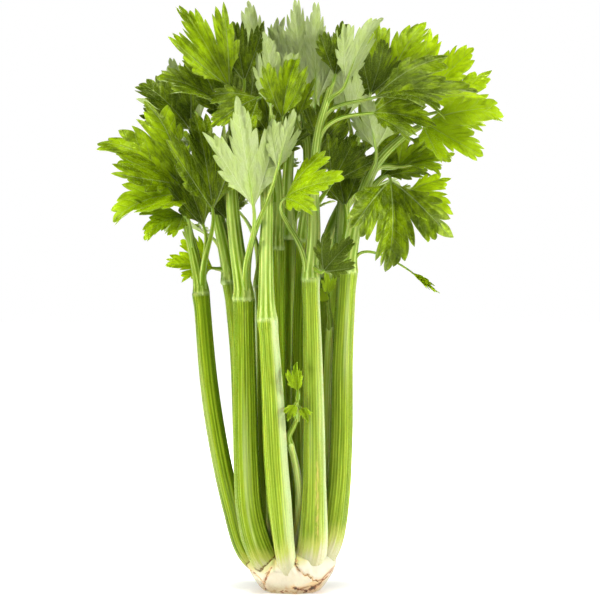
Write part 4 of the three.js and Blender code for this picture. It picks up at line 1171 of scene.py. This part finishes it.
def leaf_blade(name, dark, bright, painted_backlight, below, glow):
    """Glossy leaf skin above and dull pale skin below, with the light of the far side showing through, and a
    painted backlit glow above on blades toned over 1.
    """
    material, tree = new_material(name)
    growth = attribute(tree, "growth", "Vector")
    ribs, veins, net = place_group(tree, leaf_veins, {"Growth": growth}, ("Ribs", "Veins", "Net"))
    under, tone, deep = attribute(tree, "under"), attribute(tree, "tone"), attribute(tree, "rib")
    mottle, fine = growth.noise(6, 4, 0.6), growth.noise(46, 3, 0.6)
    p, q, seed = growth.axes()
    fan = q.math("ARCTAN2", p + 0.04)
    reach = (q * q + p * p).math("SQRT")
    streaks = fan.into("ShaderNodeCombineXYZ", {0: fan * 9, 1: reach, 2: seed}).noise(2.2, 4, 0.65)
    shade = tone + mottle.spread(0.3, 0.7, -0.20, 0.20) + streaks.spread(0.32, 0.68, -0.19, 0.19)
    upper = shade.spread(0.0, 1.0).mix(dark, bright)
    # Tones over 1 paint the upper side with the glow of a blade lit from behind
    upper = shade.spread(1.0, 1.5).mix(upper, painted_backlight)
    upper = fine.spread(0.40, 0.66, 0, 0.12).mix(upper, bright)
    upper = (veins * 0.13).mix(upper, below)
    upper = (ribs * 0.38).mix(upper, below)
    lower = mottle.spread(0.35, 0.65, 0, 0.35).mix(below, bright)
    lower = streaks.spread(0.58, 0.36, 0, 0.45).mix(lower, (0.25, 0.32, 0.09))
    lower = fine.spread(0.60, 0.38, 0, 0.25).mix(lower, (0.27, 0.34, 0.12))
    lower = (net * 0.22).mix(lower, (0.48, 0.545, 0.29))
    lower = (veins * 0.55).mix(lower, PALE_VEIN)
    lower = (ribs * 0.85).mix(lower, PALE_VEIN)
    colour = under.mix(upper, lower)
    colour = deep.spread(0.30, 0.0, 0, 0.20).mix(colour, (0.42, 0.50, 0.12))
    relief = (ribs + veins * 0.8 + net * 0.35) * (under * 2.0 - 1.0) + fine * 0.35 + streaks * 1.6
    normal = relief.bump(0.0006, 0.85)
    skin = field(tree, "ShaderNodeBsdfPrincipled", {
        "Base Color": colour,
        "Roughness": fine.spread(0.3, 0.7, 0.17, 0.31) + under * 0.22,
        "Normal": normal,
        "Specular IOR Level": 0.5,
        "Specular Tint": (0.88, 1.0, 0.35),
    })
    through = tone.spread(0.0, 0.8, 0.10, 0.62).mix(colour, glow)
    behind = field(tree, "ShaderNodeBsdfTranslucent", {"Color": through, "Normal": normal})
    both = field(tree, "ShaderNodeMixShader", {0: 0.26, 1: skin, 2: behind})
    add_node(tree, "ShaderNodeOutputMaterial", {0: both})
    return material


old_blade = leaf_blade("leaf_blade", (0.043, 0.075, 0.0004), (0.355, 0.50, 0.002),
                       (0.52, 0.70, 0.004), (0.46, 0.53, 0.28), (0.44, 0.62, 0.001))
young_blade = leaf_blade("leaf_blade_young", (0.20, 0.34, 0.006), (0.42, 0.58, 0.02),
                         (0.52, 0.70, 0.03), (0.40, 0.52, 0.12), (0.45, 0.66, 0.01))
leaf_stalk_skin = stalk_skin("leaf_stalk_skin", (0.13, 0.22, 0.0005), (0.42, 0.51, 0.17), -0.2, -0.1)


def join_parts(name, parts, materials):
    """One piece from many closed parts, in their own order."""
    faces, face_materials, first = [], [], 0
    for part in parts:
        faces.extend(tuple(i + first for i in face) for face in part["faces"])
        face_materials.extend([part["material"]] * len(part["faces"]))
        first += len(part["points"])
    points, *values = (
        np.concatenate([part[entry] for part in parts])
        for entry in ("points", "growth", "under", "rib", "rim", "tone"))
    piece = new_piece(name, points, faces, dict(zip(("growth", "under", "rib", "rim", "tone"), values)))
    piece.data.polygons.foreach_set("material_index", face_materials)
    for material in materials:
        piece.data.materials.append(material)
    return piece


for name, leaf in LEAVES.items():
    heart = name.startswith("heart")
    blade = young_blade if heart else old_blade
    leaf_piece = join_parts(name + "_veined", leaf_parts(name, *leaf), (blade, leaf_stalk_skin))
    finish_piece(leaf_piece, name, 55)

# ---------------------------------------------------------------- the studio
# A plain white floor and white surroundings, big soft lights from both sides and above, and the camera.

bpy.ops.mesh.primitive_plane_add(size=40)
floor = bpy.context.object
floor.name = "studio_floor"
material, tree = new_material("studio_white")
place = object_place(tree)
away = place.into("ShaderNodeVectorMath", {0: place}, "Value", operation="LENGTH")
paint = field(tree, "ShaderNodeBsdfPrincipled", {
    "Base Color": place.noise(3, 2).mix((0.93, 0.93, 0.93), (0.95, 0.95, 0.95)),
    "Roughness": 0.9,
    "Specular IOR Level": 0.1,
    "Emission Color": (1, 1, 1),
    "Emission Strength": away.spread(0.03, 0.15, 0, 0.95),
})
add_node(tree, "ShaderNodeOutputMaterial", {0: paint})
floor.data.materials.append(material)

world = bpy.data.worlds.new("studio_surroundings")
world.use_nodes = True
bpy.context.scene.world = world
tree = world.node_tree
tree.nodes.clear()
strength = field(tree, "ShaderNodeLightPath", output="Is Camera Ray").choose(0.12, 1.0)
backdrop = field(tree, "ShaderNodeBackground", {"Color": (1, 1, 1), "Strength": strength})
add_node(tree, "ShaderNodeOutputWorld", {0: backdrop})

# [name, place, aim, size, power]
STUDIO_LIGHTS = (
    ("left_softbox", (-1.55, -0.65, 0.70), (0, 0, 0.26), 0.40, 29.5),
    ("right_softbox", (1.60, -0.60, 0.80), (0, 0, 0.25), 0.40, 29.5),
    ("front_softbox", (0.15, -1.50, 1.30), (0, 0, 0.30), 0.60, 7),
    ("top_softbox", (-0.1, -0.65, 1.9), (0, 0, 0.35), 0.45, 28),
    ("back_softbox", (0.3, 1.7, 1.0), (0, 0, 0.38), 0.7, 15),
)
for name, place, aim, size, power in STUDIO_LIGHTS:
    light = bpy.data.lights.new(name, "AREA")
    light.size = size
    light.energy = power
    lamp = bpy.data.objects.new(name, light)
    lamp.location = place
    lamp.rotation_euler = (Vector(aim) - Vector(place)).to_track_quat("-Z", "Y").to_euler()
    bpy.context.collection.objects.link(lamp)
sun = bpy.data.lights.new("even_fill", "SUN")
sun.energy = 0.2
sun.angle = math.radians(70)
sun_lamp = bpy.data.objects.new("even_fill", sun)
sun_lamp.rotation_euler = (math.radians(25), math.radians(-15), 0)
bpy.context.collection.objects.link(sun_lamp)

camera = bpy.data.cameras.new("photo_camera")
camera.lens = 120
camera.sensor_width = 36
camera_stand = bpy.data.objects.new("photo_camera", camera)
camera_stand.location = (0.0068, -1.7, 0.2465)
camera_stand.rotation_euler = (math.radians(90), 0, 0)
bpy.context.collection.objects.link(camera_stand)
bpy.context.scene.camera = camera_stand
bpy.context.scene.view_settings.view_transform = "Standard"
bpy.context.scene.view_settings.gamma = 0.86
